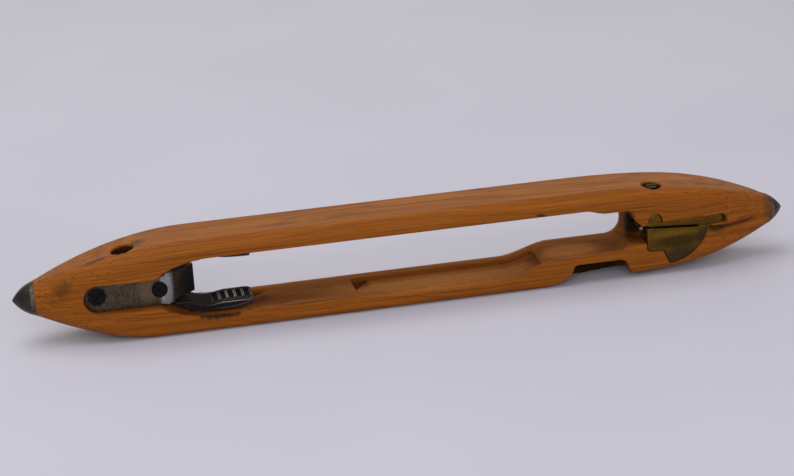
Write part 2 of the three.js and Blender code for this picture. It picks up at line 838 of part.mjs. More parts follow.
function shuttleBody() {
  const above = bodyWidth + beyond;
  const tangHole = tangRadius + clearance;
  const boltHole = boltRadius + clearance;
  return solidOf(bodyOutside())
    .subtract(bobbinWell())
    .subtract(gripSlot())
    .subtract(jawRelief(1, backReliefStart, 0))
    .subtract(jawRelief(-1, frontReliefStart, reliefSkew))
    .subtract(brushGroove())
    .subtract(brushPit())
    .subtract(cutterNotch())
    .subtract(threadPocket())
    .subtract(threadScoop())
    .subtract(threadOutlet())
    .subtract(eyeSpace(clearance))
    .subtract(solidOf(alongX(bar(tangHole, tangLength + beyond)).translate(springRingX - beyond, 0, tipZ)))
    .subtract(solidOf(alongX(bar(tangHole, tangLength + beyond)).translate(eyeRingX - tangLength, 0, tipZ)))
    .subtract(holeAlongZ(boltX, boltY, boltHole, -beyond, above))
    .subtract(holeAlongZ(boltX, boltY, counterboreRadius, bodyWidth - boltSeat, above))
    .subtract(holeAlongZ(boltX, boltY, counterboreRadius, -beyond, boltSeat))
    .subtract(holeAlongZ(eyeScrewX, eyeScrewY, eyeScrewRadius + clearance, eyeScrewEnd, above))
    .subtract(holeAlongZ(eyeScrewX, eyeScrewY, eyeScrewBore, eyeScrewSeat, above))
    .subtract(holeAlongY(guidePinX, guidePinZ, guidePinRadius + clearance, topFace, guidePinSeat + clearance));
}

// A steel point with its tang, nose towards +X. shown is the length left outside the wood.
function steelPoint(shown) {
  const steps = 8;
  const profile = [[0, 0]];
  for (let i = 0; i <= steps; i += 1) {
    const distance = mix(noseRadius, shown - clearance, i / steps);
    profile.push([ogive(distance), -distance]);
  }
  profile.push([tangRadius, clearance - shown]);
  profile.push([tangRadius, 1 - shown - tangLength]);
  profile.push([tangRadius / 2, -shown - tangLength + clearance]);
  profile.push([0, -shown - tangLength + clearance]);
  return turned(profile.reverse(), round * 1.5);
}

// U of spring steel: legs along the heel block, closed round its left end.
function gripSpring() {
  const inner = prismAlongY(slotPlan(springInner, springTurnX, jawRootX + beyond), gripTop - 1, gripBottom + 1);
  return solidOf(prismAlongY(slotPlan(springOuter, springTurnX, jawRootX), gripTop, gripBottom))
    .subtract(solidOf(inner))
    .subtract(holeAlongZ(boltX, boltY, boltRadius + clearance, 0, bodyWidth))
    .subtract(holeAlongZ(outerRivetX, gripDrop, rivetRadius + clearance, 0, bodyWidth))
    .subtract(holeAlongZ(innerRivetX, gripDrop, rivetRadius + clearance, 0, bodyWidth));
}

// Filler block inside the U, tapped for the strap's screws.
function heelBlock() {
  const tapped = (x) => holeAlongY(
    x, strapScrewZ, strapShankRadius + clearance, strapTop, strapTop + strapShankLength + clearance,
  );
  const plan = slotPlan(heelHalf, springTurnX, jawRootX + heelPastRoot);
  return solidOf(prismAlongY(plan, strapUnder + clearance, gripBottom))
    .subtract(strapSpace(slotHalf, slotZ))
    .subtract(holeAlongZ(boltX, boltY, boltRadius + clearance, 0, bodyWidth))
    .subtract(holeAlongZ(outerRivetX, gripDrop, rivetRadius + clearance, 0, bodyWidth))
    .subtract(holeAlongZ(innerRivetX, gripDrop, rivetRadius + clearance, 0, bodyWidth))
    .subtract(tapped(starScrewX))
    .subtract(tapped(roundScrewX));
}

// A rivet flush with the legs of the U.
function heelRivet() {
  return alongZ(bar(rivetRadius, 2 * springOuter, round / 2));
}

// Distance of a jaw's face from the bobbin's middle at x. It falls away towards the arm.
function jawFace(x, lean) {
  const towardsArm = 1 - THREE.MathUtils.smoothstep(x, jawArmEnd, jawFaceFull);
  return ribHalfGap + lean * (jawTipX - x) / (jawTipX - jawArmEnd) + ribStep * towardsArm;
}

// A jaw with its curved arm, drawn from the bobbin's middle outwards. rootShift takes the arm's root from
// the bobbin's middle to the slot's middle; lean is how much wider the ribs stand at their left end.
// Short grooves between the ribs take the bobbin's rings.
function jaw(rootShift, lean) {
  const faceSteps = 6;
  const along = (share) => mix(jawArmX, jawArmEnd, share);
  const rootOuter = springOuter + rootShift;
  const rootInner = springInner + rootShift;
  const armInner = jawFace(jawArmEnd, lean);
  const belly = jawFace(jawBellyX, lean) + jawBelly;
  const tipOuter = ribHalfGap + jawTipThick;
  const shape = new THREE.Shape();
  shape.moveTo(jawRootX + clearance, rootInner);
  shape.lineTo(jawArmX, rootInner);
  shape.bezierCurveTo(along(0.25), rootInner, along(0.75), armInner, jawArmEnd, armInner);
  for (let i = 1; i <= faceSteps; i += 1) {
    const x = mix(jawArmEnd, jawFaceFull, i / faceSteps);
    shape.lineTo(x, jawFace(x, lean));
  }
  shape.lineTo(jawTipX - jawTipRound, ribHalfGap);
  shape.quadraticCurveTo(jawTipX, ribHalfGap, jawTipX, ribHalfGap + jawTipRound);
  shape.quadraticCurveTo(jawTipX, tipOuter, jawTipX - jawTipRound, tipOuter);
  shape.quadraticCurveTo(jawBellyX + jawBellyLead, belly, jawBellyX, belly);
  shape.lineTo(jawArmEnd, belly);
  shape.bezierCurveTo(along(0.35), belly, along(0.2), rootOuter, jawRootX + jawArmRise, rootOuter);
  shape.lineTo(jawRootX + clearance, rootOuter);
  shape.closePath();
  const plan = roundedBar(jawRootX - beyond, gripTop, jawTipX, gripBottom, jawCornerRound);
  let solid = solidOf(prismAlongY(shape, gripTop, gripBottom, round / 3))
    .intersect(solidOf(prismAlongZ(plan, 0, bodyWidth)));
  const grooveLength = 2 * (gripHalfDepth - ribRim - ribGrooveRadius);
  for (let i = 0; i < ribCount; i += 1) {
    const x = jawTipX - ribToTip - i * ribPitch;
    const groove = new THREE.CapsuleGeometry(ribGrooveRadius, grooveLength, 3, round / 2)
      .translate(x, gripDrop + ribShift, jawFace(x, lean) + ribGrooveDeep - ribGrooveRadius);
    solid = solid.subtract(solidOf(groove));
  }
  return solid.subtract(jawLeadIn()).subtract(strapSpace(earHalf + clearance, rootShift));
}

// Slope along the near edge of a jaw's face, which leads the bobbin's rings in.
function jawLeadIn() {
  const tilt = Math.atan2(leadInHeight, leadInDepth);
  const half = beyond;
  const geometry = new THREE.BoxGeometry(jawTipX - jawArmX, 2 * half, 2 * half)
    .rotateX(-tilt)
    .translate(
      jawTipX,
      gripTop + leadInDepth / 2 - half * Math.sin(tilt),
      ribHalfGap + leadInHeight / 2 - half * Math.cos(tilt),
    );
  return solidOf(geometry);
}

// A line moved below itself by a distance, with its corners kept square to both sides.
function lineBelow(points, by) {
  return points.map(([x, y], k) => {
    const [beforeX, beforeY] = points[Math.max(k - 1, 0)];
    const [afterX, afterY] = points[Math.min(k + 1, points.length - 1)];
    const before = k > 0 ? Math.atan2(y - beforeY, x - beforeX) : 0;
    const after = k + 1 < points.length ? Math.atan2(afterY - y, afterX - x) : before;
    const middle = (before + after) / 2;
    const reach = by / Math.cos((after - before) / 2);
    return [x - reach * Math.sin(middle), y + reach * Math.cos(middle)];
  });
}

function polygon(points) {
  return new THREE.Shape(points.map(([x, y]) => new THREE.Vector2(x, y)));
}

// Upper face of the strap seen from the side: flat, then bent down in two steps into the bobbin guide.
const strapLine = [
  [strapEndX - strapWidth, strapTop],
  [strapBendX, strapTop],
  [strapCreaseX, strapTop + strapCreaseDepth],
  [guideEndX, strapTop + guideDepth],
];

// The space that the strap and its guide need, for the pieces that pass below them. It is half wide to
// each side of z, and open towards the top face.
function strapSpace(half, z) {
  const start = [strapLine[0][0], topFace];
  const end = [guideEndX, topFace];
  const below = lineBelow(strapLine, strapThick + clearance).reverse();
  return solidOf(prismAlongZ(polygon([start, end, ...below]), z - half, z + half));
}

// Cover strap: round at its left end, a little wider from the bend on.
function coverStrap() {
  const half = strapWidth / 2;
  const ears = roundedBar(strapEarX, slotZ - earHalf, strapEarEndX, slotZ + earHalf, strapEarRound);
  const plan = solidOf(prismAlongY(slotPlan(half, strapEndX, guideEndX + beyond), topFace, bottomFace))
    .add(solidOf(prismAlongY(ears, topFace, bottomFace)));
  const screwHole = (x) => holeAlongY(
    x, strapScrewZ, strapShankRadius + clearance, topFace, strapUnder + clearance,
  );
  const side = polygon([...strapLine, ...lineBelow(strapLine, strapThick).reverse()]);
  return solidOf(prismAlongZ(side, slotZ - earHalf, slotZ + earHalf))
    .intersect(plan)
    .subtract(screwHole(starScrewX))
    .subtract(screwHole(roundScrewX));
}

// Driver slot across a head whose outer face is at height, turned by angle.
function driverSlot(radius, height, angle) {
  return new THREE.BoxGeometry(2 * radius + 2, 2 * driverSlotDeep, driverSlotWide)
    .rotateY(angle)
    .translate(0, height, 0);
}

// Lock screw: head with pointed notches round its edge, over a plain shank.
function starScrew() {
  const shape = new THREE.Shape();
  for (let i = 0; i < 2 * starPoints; i += 1) {
    const angle = i * Math.PI / starPoints;
    const r = i % 2 ? starScrewInner : starScrewRadius;
    const x = r * Math.cos(angle);
    const y = r * Math.sin(angle);
    if (i === 0) {
      shape.moveTo(x, y);
    } else {
      shape.lineTo(x, y);
    }
  }
  shape.closePath();
  const head = prismAlongZ(shape, 0, starHeadHigh).rotateX(-Math.PI / 2);
  const shank = bar(strapShankRadius, strapShankLength).translate(0, clearance - strapShankLength, 0);
  return solidOf(head)
    .add(solidOf(shank))
    .subtract(solidOf(driverSlot(starScrewRadius, starHeadHigh, Math.PI / 4)));
}

// Round-headed screw with a driver slot.
function roundScrew() {
  const profile = [
    [0, -strapShankLength], [strapShankRadius, -strapShankLength], [strapShankRadius, 0],
    [roundScrewRadius, 0], [roundScrewRadius, roundHeadHigh / 2],
    [roundScrewRadius - roundHeadHigh / 2, roundHeadHigh], [0, roundHeadHigh],
  ];
  return solidOf(turned(profile))
    .subtract(solidOf(driverSlot(roundScrewRadius, roundHeadHigh, -Math.PI / 4)));
}

// Slot across a head that stands along Z, with the head's face at height.
function boltSlot(radius, height) {
  return solidOf(
    new THREE.BoxGeometry(2 * radius + 1, boltSlotWide, 2 * boltSlotDeep).translate(0, 0, height),
  );
}

function crossBolt() {
  const seat = bodyWidth - boltSeat + washerThick + 2 * clearance;
  const foot = boltSeat - washerThick - boltHeadHigh - clearance;
  return holeAlongZ(0, 0, boltRadius, foot, seat + boltHeadHigh / 2)
    .add(holeAlongZ(0, 0, boltHeadRadius, seat, seat + boltHeadHigh))
    .subtract(boltSlot(boltHeadRadius, seat + boltHeadHigh));
}

function crossBoltNut() {
  const seat = boltSeat - washerThick - 2 * clearance;
  return holeAlongZ(0, 0, boltHeadRadius, seat - boltHeadHigh, seat)
    .subtract(holeAlongZ(0, 0, boltRadius + clearance, 0, bodyWidth))
    .subtract(boltSlot(boltHeadRadius, seat - boltHeadHigh));
}

function washer() {
  return holeAlongZ(0, 0, boltHeadRadius, 0, washerThick)
    .subtract(holeAlongZ(0, 0, boltRadius + clearance, -washerThick, 2 * washerThick));
}

// Height of the threading slot's middle at x.
function threadSlotAt(x) {
  return mix(threadSlotStartZ, threadSlotEndZ, (x - eyeX) / (threadSlotEnd - eyeX));
}

// The threading slot and the space above it, where the rail lies lower than the leaf.
function threadSlot() {
  const start = eyeX - beyond;
  const half = threadSlotWide / 2;
  const shape = new THREE.Shape();
  shape.moveTo(start, threadSlotAt(start) - half);
  shape.lineTo(threadSlotEnd, threadSlotEndZ - half);
  shape.lineTo(threadSlotEnd, threadSlotEndZ + half);
  shape.lineTo(start, threadSlotAt(start) + half);
  shape.closePath();
  return solidOf(prismAlongY(shape, topFace - beyond, chamberTop + 1));
}

function railSink() {
  const start = eyeX - beyond;
  const end = railEnd + beyond;
  const shape = new THREE.Shape();
  shape.moveTo(start, threadSlotAt(start));
  shape.lineTo(threadSlotEnd, threadSlotEndZ);
  shape.lineTo(leafEndX, railLow);
  shape.lineTo(end, railLow - beyond);
  shape.lineTo(end, earTop + beyond);
  shape.lineTo(start, earTop + beyond);
  shape.closePath();
  return solidOf(prismAlongY(shape, topFace - beyond, 0)).subtract(solidOf(bodyOutside(railSunk)));
}

// Chamber for felt and tension leaf, with a raised seat for the leaf's foot at its end.
function threadChamber() {
  const seatX = chamberEnd - tensionSeatLength;
  const open = boxBetween([eyeX - beyond, chamberTop, chamberLow], [chamberEnd, chamberFloor, chamberHigh]);
  const seat = boxBetween(
    [seatX, tensionUnder + clearance, chamberLow - 1], [chamberEnd + 1, chamberFloor + 1, chamberHigh + 1],
  );
  return solidOf(open).subtract(solidOf(seat));
}

// Brass casting: leaf, rail and ear over a block with the thread chamber and the threading slot.
function shuttleEye() {
  const screwHole = leafScrewRadius + clearance;
  return eyeSpace(0)
    .intersect(solidOf(bodyOutside()))
    .subtract(railSink())
    .subtract(threadChamber())
    .subtract(threadSlot())
    .subtract(threadOutlet())
    .subtract(holeAlongY(leafScrewX, chamberZ, screwHole, tensionUnder, tensionTop + leafScrewLength + clearance))
    .subtract(holeAlongZ(eyeScrewX, eyeScrewY, eyeScrewRadius + clearance, eyeScrewEnd - clearance, bodyWidth));
}

function eyeScrew() {
  const head = eyeScrewSeat + clearance;
  const profile = [
    [0, eyeScrewEnd], [eyeScrewRadius, eyeScrewEnd], [eyeScrewRadius, head],
    [eyeScrewHeadRadius, head], [eyeScrewHeadRadius, head + eyeScrewHeadHigh],
    [0, head + eyeScrewHeadHigh],
  ];
  return solidOf(alongZ(turned(profile))).subtract(boltSlot(eyeScrewHeadRadius, head + eyeScrewHeadHigh));
}

// Spring leaf that presses the thread on the felt, with a hole for its screw at the right end.
function tensionLeaf() {
  const end = chamberEnd - clearance;
  const strip = boxBetween(
    [end - tensionLength, tensionTop, chamberZ - tensionWidth / 2],
    [end, tensionUnder, chamberZ + tensionWidth / 2],
  );
  const hole = holeAlongY(leafScrewX, chamberZ, leafScrewRadius + clearance, tensionTop - 1, tensionUnder + 1);
  return solidOf(strip).subtract(hole);
}

// Small round-headed screw through the tension leaf's foot.
function leafScrew() {
  return turned([
    [0, 0], [leafScrewHeadRadius, 0], [leafScrewHeadRadius, leafScrewHeadHigh],
    [leafScrewRadius, leafScrewHeadHigh], [leafScrewRadius, leafScrewLength], [0, leafScrewLength],
  ], round / 2);
}

// Places a finished geometry or solid under its name, in its own material.
const shuttle = new THREE.Group();

const finishes = {
  wood: { color: 0xb8733a, roughness: 0.55, metalness: 0 },
  tipSteel: { color: 0x5f6266, roughness: 0.45, metalness: 1 },
  strapSteel: { color: 0x6d665c, roughness: 0.5, metalness: 1 },
  darkSteel: { color: 0x2c2d30, roughness: 0.5, metalness: 1 },
  brass: { color: 0x8a7a3c, roughness: 0.45, metalness: 1 },
  springBrass: { color: 0xa08a48, roughness: 0.4, metalness: 1 },
  felt: { color: 0xd8d2c4, roughness: 0.95, metalness: 0 },
};

function place(name, shape, finish, x = 0, y = 0, z = 0) {
  const geometry = shape instanceof THREE.BufferGeometry ? shape : geometryOf(shape);
  const mesh = new THREE.Mesh(geometry, new THREE.MeshStandardMaterial(finishes[finish]));
  mesh.name = name;
  mesh.position.set(x, y, z);
  shuttle.add(mesh);
  return mesh;
}

place('shuttle_body', shuttleBody(), 'wood');
place('eye_end_tip', alongX(steelPoint(eyeTipShown)), 'tipSteel', eyeEnd, 0, tipZ);
place('spring_end_tip', alongX(steelPoint(springTipShown)), 'tipSteel', springEnd, 0, tipZ)
  .rotation.z = Math.PI;

place('grip_spring', gripSpring(), 'darkSteel');
place('heel_block', heelBlock(), 'darkSteel');
place('heel_rivet_outer', heelRivet(), 'darkSteel', outerRivetX, gripDrop, slotZ - springOuter);
place('heel_rivet_inner', heelRivet(), 'darkSteel', innerRivetX, gripDrop, slotZ - springOuter);
place('back_jaw', jaw(-slotDrop, backLean), 'darkSteel', 0, 0, axisZ);
place('front_jaw', jaw(slotDrop, frontLean).mirror([0, 0, 1]), 'darkSteel', 0, 0, axisZ);

place('cross_bolt', crossBolt(), 'darkSteel', boltX, boltY, 0);
place('bolt_washer', washer(), 'darkSteel', boltX, boltY, bodyWidth - boltSeat + clearance);
place('cross_bolt_nut', crossBoltNut(), 'darkSteel', boltX, boltY, 0);
place('nut_washer', washer(), 'darkSteel', boltX, boltY, boltSeat - clearance - washerThick);

place('cover_strap', coverStrap(), 'strapSteel');
place('star_screw', starScrew(), 'darkSteel', starScrewX, strapTop - clearance, strapScrewZ)
  .rotation.x = Math.PI;
place('strap_screw', roundScrew(), 'darkSteel', roundScrewX, strapTop - clearance, strapScrewZ)
  .rotation.x = Math.PI;

place('shuttle_eye', shuttleEye(), 'brass');
place('eye_screw', eyeScrew(), 'darkSteel', eyeScrewX, eyeScrewY, 0);
place('thread_guide_pin', bar(guidePinRadius, guidePinSeat - topFace - guidePinSunk), 'tipSteel',
  guidePinX, topFace + guidePinSunk, guidePinZ);
place('tension_felt', boxBetween(
  [feltStart, feltTop, chamberZ - tensionWidth / 2],
  [feltStart + feltLength, feltTop + feltThick, chamberZ + tensionWidth / 2],
), 'felt');
place('tension_leaf', tensionLeaf(), 'springBrass');
place('leaf_screw', leafScrew(), 'darkSteel',
  leafScrewX, tensionTop - clearance - leafScrewHeadHigh, chamberZ);

export default shuttle;
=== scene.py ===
# A loom shuttle on a pale table: hardwood body, steel points, sprung grip, cover strap and brass eye.
# Metres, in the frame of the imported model: X along the shuttle, -Y its top face, +Z up.
import math

import bpy
import numpy as np
from mathutils import Matrix, Vector


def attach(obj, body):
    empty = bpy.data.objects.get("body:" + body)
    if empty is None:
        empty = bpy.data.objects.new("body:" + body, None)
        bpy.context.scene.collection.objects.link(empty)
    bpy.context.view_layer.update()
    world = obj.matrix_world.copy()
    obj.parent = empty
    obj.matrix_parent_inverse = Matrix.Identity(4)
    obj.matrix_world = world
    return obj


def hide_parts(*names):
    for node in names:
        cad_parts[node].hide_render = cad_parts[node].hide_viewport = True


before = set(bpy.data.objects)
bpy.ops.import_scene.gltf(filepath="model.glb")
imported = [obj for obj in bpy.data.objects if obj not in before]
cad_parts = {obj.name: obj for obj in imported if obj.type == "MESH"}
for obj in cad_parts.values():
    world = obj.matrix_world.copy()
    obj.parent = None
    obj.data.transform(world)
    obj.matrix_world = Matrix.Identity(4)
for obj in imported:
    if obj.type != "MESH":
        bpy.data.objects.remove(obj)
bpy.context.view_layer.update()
scene = bpy.context.scene

# The body.
# One block of close-grained hardwood, shaped on a copying lathe and router, then rubbed with oil.
# Years of flights through the loom have rounded its edges. Painted light brightens the channel in its front
# wall, and painted shade, with some grime, darkens its hollows and cuts.

# Shapes and marks are given in millimetres; the table, the lamps and the camera stand in metres.
MM_PER_METRE = 1000.0


def shown(red, green, blue):
    """A colour as it is seen, 0 to 255 each, as the shader's linear colour."""
    parts = [c / 255 for c in (red, green, blue)]
    linear = [c / 12.92 if c <= 0.04045 else ((c + 0.055) / 1.055) ** 2.4 for c in parts]
    return (*linear, 1.0)


class Finish:
    """A surface finish, made of nodes that read the piece's own coordinates in millimetres."""

    def __init__(self, name):
        self.material = bpy.data.materials.new(name)
        self.material.use_nodes = True
        self.tree = self.material.node_tree
        self.shader = self.tree.nodes["Principled BSDF"]
        self.height = None
        here = self.tree.nodes.new("ShaderNodeTexCoord").outputs["Object"]
        in_mm = self.node("ShaderNodeVectorMath", {"Vector": here, "Scale": MM_PER_METRE}, operation="SCALE")
        self.place = in_mm.outputs[0]

    def node(self, kind, inputs, **settings):
        """A node of that kind, its inputs joined to other nodes or set to a value."""
        made = self.tree.nodes.new(kind)
        for name, value in settings.items():
            setattr(made, name, value)
        for name, value in inputs.items():
            self.feed(made.inputs[name], value)
        return made

    def feed(self, socket, value):
        if isinstance(value, bpy.types.NodeSocket):
            self.tree.links.new(value, socket)
        else:
            socket.default_value = value

    def at(self, per_x, per_y, per_z, shift):
        """The place, with so many units to a millimetre each way, moved to another part of the pattern."""
        scaled = self.node(
            "ShaderNodeVectorMath",
            {0: self.place, 1: (per_x, per_y, per_z), 2: (shift, shift * 1.7, shift * 0.6)},
            operation="MULTIPLY_ADD",
        )
        return scaled.outputs[0]

    def noise(self, per_mm, detail=3.0, roughness=0.55, twist=0.0, shift=0.0):
        """Noise with so many lumps to a millimetre along X, Y and Z."""
        inputs = {"Vector": self.at(*per_mm, shift), "Scale": 1.0, "Detail": detail}
        texture = self.node("ShaderNodeTexNoise", {**inputs, "Roughness": roughness, "Distortion": twist})
        return texture.outputs[0]

    def sums(self, operation, first, second, third=0.0):
        """A sum worked out all over the surface, such as ADD or MULTIPLY."""
        return self.node("ShaderNodeMath", {0: first, 1: second, 2: third}, operation=operation).outputs[0]

    def span(self, value, low, high, to_low=0.0, to_high=1.0):
        """The value between low and high, eased and spread from to_low to to_high."""
        inputs = {"Value": value, "From Min": low, "From Max": high, "To Min": to_low, "To Max": to_high}
        return self.node("ShaderNodeMapRange", inputs, interpolation_type="SMOOTHSTEP").outputs[0]

    def mix(self, share, first, second):
        """The first colour with that share of the second in it."""
        return self.node("ShaderNodeMix", {0: share, 6: first, 7: second}, data_type="RGBA").outputs[2]

    def spot(self, centre, half, ragged=0.0, tilt=0.0):
        """1 at a place on the piece, 0 outside the half sizes round it, with an edge as ragged as that."""
        off = self.node("ShaderNodeVectorMath", {0: self.place, 1: centre}, operation="SUBTRACT").outputs[0]
        turned = self.node("ShaderNodeVectorRotate", {"Vector": off, "Angle": tilt}, rotation_type="Y_AXIS")
        inputs = {0: turned.outputs[0], 1: half}
        sized = self.node("ShaderNodeVectorMath", inputs, operation="DIVIDE").outputs[0]
        reach = self.node("ShaderNodeVectorMath", {0: sized}, operation="LENGTH").outputs[1]
        if ragged:
            edge = self.noise((0.5, 0.9, 0.9), 4.0, 0.6, 0.0, centre[0])
            reach = self.sums("MULTIPLY_ADD", edge, ragged, reach)
            reach = self.sums("SUBTRACT", reach, ragged / 2)
        return self.span(reach, 1.0, 0.35)

    def stain(self, colour, strength, tone, *spots):
        """Stains the colour with a tone at the spots; each is a centre, half sizes, raggedness and tilt."""
        for centre, half, ragged, tilt in spots:
            there = self.sums("MULTIPLY", self.spot(centre, half, ragged, tilt), strength)
            colour = self.mix(there, colour, tone)
        return colour

    def mark(self, name):
        """What mark_bends and mark_depth have kept on the points of the piece."""
        return self.node("ShaderNodeAttribute", {}, attribute_name=name).outputs["Fac"]

    def raise_by(self, height, depth):
        """Adds a relief of so many millimetres to the surface."""
        part = self.sums("MULTIPLY", height, depth)
        self.height = part if self.height is None else self.sums("ADD", self.height, part)

    def done(self, colour, roughness, **others):
        """Joins the finish to its shader, with any others of the shader's inputs by name."""
        self.tree.links.new(colour, self.shader.inputs["Base Color"])
        self.tree.links.new(roughness, self.shader.inputs["Roughness"])
        if self.height is not None:
            relief = {"Strength": 1.0, "Distance": 1 / MM_PER_METRE, "Height": self.height}
            bump = self.node("ShaderNodeBump", relief)
            self.tree.links.new(bump.outputs[0], self.shader.inputs["Normal"])
        for name, value in others.items():
            self.feed(self.shader.inputs[name.replace("_", " ")], value)
        return self.material


def settled(piece):
    """Turns the piece's modifiers into its own mesh."""
    bpy.context.view_layer.update()
    shape = piece.evaluated_get(bpy.context.evaluated_depsgraph_get())
    mesh = bpy.data.meshes.new_from_object(shape)
    piece.modifiers.clear()
    piece.data = mesh


def worn_copy(node, name, voxel, passes):
    """A fine skin over the node's solid: voxels in millimetres, and the passes that round its edges."""
    piece = bpy.data.objects.new(name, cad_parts[node].data.copy())
    scene.collection.objects.link(piece)
    piece.data.materials.clear()
    skin = piece.modifiers.new("skin", "REMESH")
    skin.mode = "VOXEL"
    skin.voxel_size = voxel / MM_PER_METRE
    rub = piece.modifiers.new("rub", "SMOOTH")
    rub.factor = 0.5
    rub.iterations = passes
    settled(piece)
    return piece


def thinned(piece, most_triangles):
    """Takes points out of the flat parts until the piece has no more triangles than that."""
    triangles = sum(len(face.vertices) - 2 for face in piece.data.polygons)
    if triangles > most_triangles:
        thin = piece.modifiers.new("thin", "DECIMATE")
        thin.ratio = most_triangles / triangles
        settled(piece)


def read_vectors(points, name):
    """A vector of each point: co is its place, in metres, and normal the way that it faces."""
    values = np.empty(3 * len(points), np.float32)
    points.foreach_get(name, values)
    return values.reshape(-1, 3).astype(float)


def in_millimetres(piece):
    """The X, Y and Z of the piece's points, in millimetres."""
    return (read_vectors(piece.data.vertices, "co") * MM_PER_METRE).T


def put_points(piece, x, y, z):
    """Moves the piece's points to these places, in millimetres."""
    moved = np.stack([x, y, z], 1) / MM_PER_METRE
    piece.data.vertices.foreach_set("co", moved.astype(np.float32).ravel())
    piece.data.update()


def keep_mark(piece, name, values):
    """Keeps a value on each point, under a name by which the finishes read it."""
    kept = piece.data.attributes.new(name, "FLOAT", "POINT")
    kept.data.foreach_set("value", values.astype(np.float32))


# The bend mark drives both the rubbed edges and the painted shade in hollows.
def mark_bends(piece, edge_radius):
    """Keeps how the surface bends at each point: 0.5 flat, 1 an edge of that radius, 0 such a hollow."""
    mesh = piece.data
    places = read_vectors(mesh.vertices, "co")
    normals = read_vectors(mesh.vertices, "normal")
    ends = np.empty(2 * len(mesh.edges), np.int32)
    mesh.edges.foreach_get("vertices", ends)
    first, second = ends.reshape(-1, 2).T
    along = places[second] - places[first]
    length = np.maximum((along**2).sum(1), 1e-12)
    bend = ((normals[second] - normals[first]) * along).sum(1) / length
    count = np.bincount(ends, minlength=len(places)).clip(1)
    # Three rounds of averaging calm it where the facets are uneven.
    for _ in range(3):
        total = np.bincount(first, bend, len(places)) + np.bincount(second, bend, len(places))
        at_point = total / count
        bend = (at_point[first] + at_point[second]) / 2
    keep_mark(piece, "wear_and_shade", 0.5 + 0.5 * np.clip(at_point * edge_radius / MM_PER_METRE, -1, 1))


def fitted(piece, material, body, node):
    """Gives the piece its finish, and puts it in the place of the solid that it stands for."""
    piece.data.materials.clear()
    piece.data.materials.append(material)
    piece.data.shade_smooth()
    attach(piece, body)
    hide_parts(node)


# Sides of the block at full size, in millimetres.
BLOCK = {"z_low": 0.0, "z_high": 49.5, "y_low": -17.0, "y_high": 17.0}
# The rounds between them, by which way they face in Y and Z.
ROUNDS = {(-1, -1): 4.0, (1, -1): 3.5, (1, 1): 3.5, (-1, 1): 7.5}
# The height of the points' axis, and for each end the ring of its point, then for each side where it starts
# to draw in and how sharply.
POINT_Z = 24.0
SPRING_END = {
    "ring": -194.2,
    "radius": 8.99,
    "z_low": (-135, 1.55),
    "z_high": (-112, 2.05),
    "y_low": (-152, 1.35),
    "y_high": (-125, 1.45),
}
EYE_END = {
    "ring": 197.8,
    "radius": 7.40,
    "z_low": (113, 2.1),
    "z_high": (70, 3.25),
    "y_low": (151, 1.7),
    "y_high": (137, 2.2),
}
# At the rings the rounds have grown to this share of the ring's radius.
ROUND_AT_RING = 0.97
# Along the cutter notch the side that it stands on lifts off the table, by this height from there on.
LIFT = {"start": 85.8, "end": 116.2, "height": 1.8}


def block_sides(x, end):
    """The four sides of the block's section at each x, and how far its back has drawn in."""
    sides = {}
    for side, full in BLOCK.items():
        start, power = end[side]
        share = np.clip((x - start) / (end["ring"] - start), 0, 1) ** power
        at_ring = end["radius"] if side.endswith("high") else -end["radius"]
        if side.startswith("z"):
            at_ring += POINT_Z
        if side == "z_low" and end is EYE_END:
            rise = np.clip((x - LIFT["start"]) / (LIFT["end"] - LIFT["start"]), 0, 1)
            full = LIFT["height"] * rise * rise * (3 - 2 * rise)
        sides[side] = full + (at_ring - full) * share
        if side == "z_high":
            back = share
    return sides, back


def from_outside(x, y, z):
    """How far each point lies outside the block's true skin, and which way out that is."""
    gap, out_y, out_z = np.zeros_like(x), np.zeros_like(x), np.zeros_like(x)
    for end, chosen in ((SPRING_END, x < 0), (EYE_END, x >= 0)):
        sides, back = block_sides(x, end)
        middle_y = (sides["y_low"] + sides["y_high"]) / 2
        middle_z = (sides["z_low"] + sides["z_high"]) / 2
        for (up_y, up_z), full in ROUNDS.items():
            corner = chosen & (np.sign(y - middle_y) == up_y) & (np.sign(z - middle_z) == up_z)
            radius = full + (ROUND_AT_RING * end["radius"] - full) * back
            side_y = sides["y_high"] if up_y > 0 else sides["y_low"]
            side_z = sides["z_high"] if up_z > 0 else sides["z_low"]
            off_y = (y - (side_y - up_y * radius)) * up_y
            off_z = (z - (side_z - up_z * radius)) * up_z
            in_round = (off_y > 0) & (off_z > 0)
            far = np.where(in_round, np.hypot(off_y, off_z), np.maximum(off_y, off_z))
            above_zero = np.maximum(far, 1e-6)
            away_y = np.where(in_round, off_y / above_zero, off_y >= off_z)
            away_z = np.where(in_round, off_z / above_zero, off_y < off_z)
            gap[corner] = (far - radius)[corner]
            out_y[corner] = (away_y * up_y)[corner]
            out_z[corner] = (away_z * up_z)[corner]
    return gap, out_y, out_z


# The rounded skin keeps this far from the rings, where the block's ends are flat.
FLAT_AT_RING = 0.5


def fair_outside(piece, reach):
    """Draws points on to the block's true shape: wholly up to 0.6 of the reach off it, none past 1.6."""
    x, y, z = in_millimetres(piece)
    gap, out_y, out_z = from_outside(x, y, z)
    between_rings = (x > SPRING_END["ring"] + FLAT_AT_RING) & (x < EYE_END["ring"] - FLAT_AT_RING)
    shift = np.where(between_rings, gap * np.clip(1.6 - np.abs(gap) / reach, 0, 1), 0)
    put_points(piece, x, y - shift * out_y, z - shift * out_z)


def mark_depth(piece):
    """Keeps on each point how many millimetres it lies below the block's outside."""
    keep_mark(piece, "depth", -from_outside(*in_millimetres(piece))[0])


def eased(value, low, high):
    """0 up to low, 1 from high on, and an eased rise between them."""
    share = np.clip((value - low) / (high - low), 0, 1)
    return share * share * (3 - 2 * share)


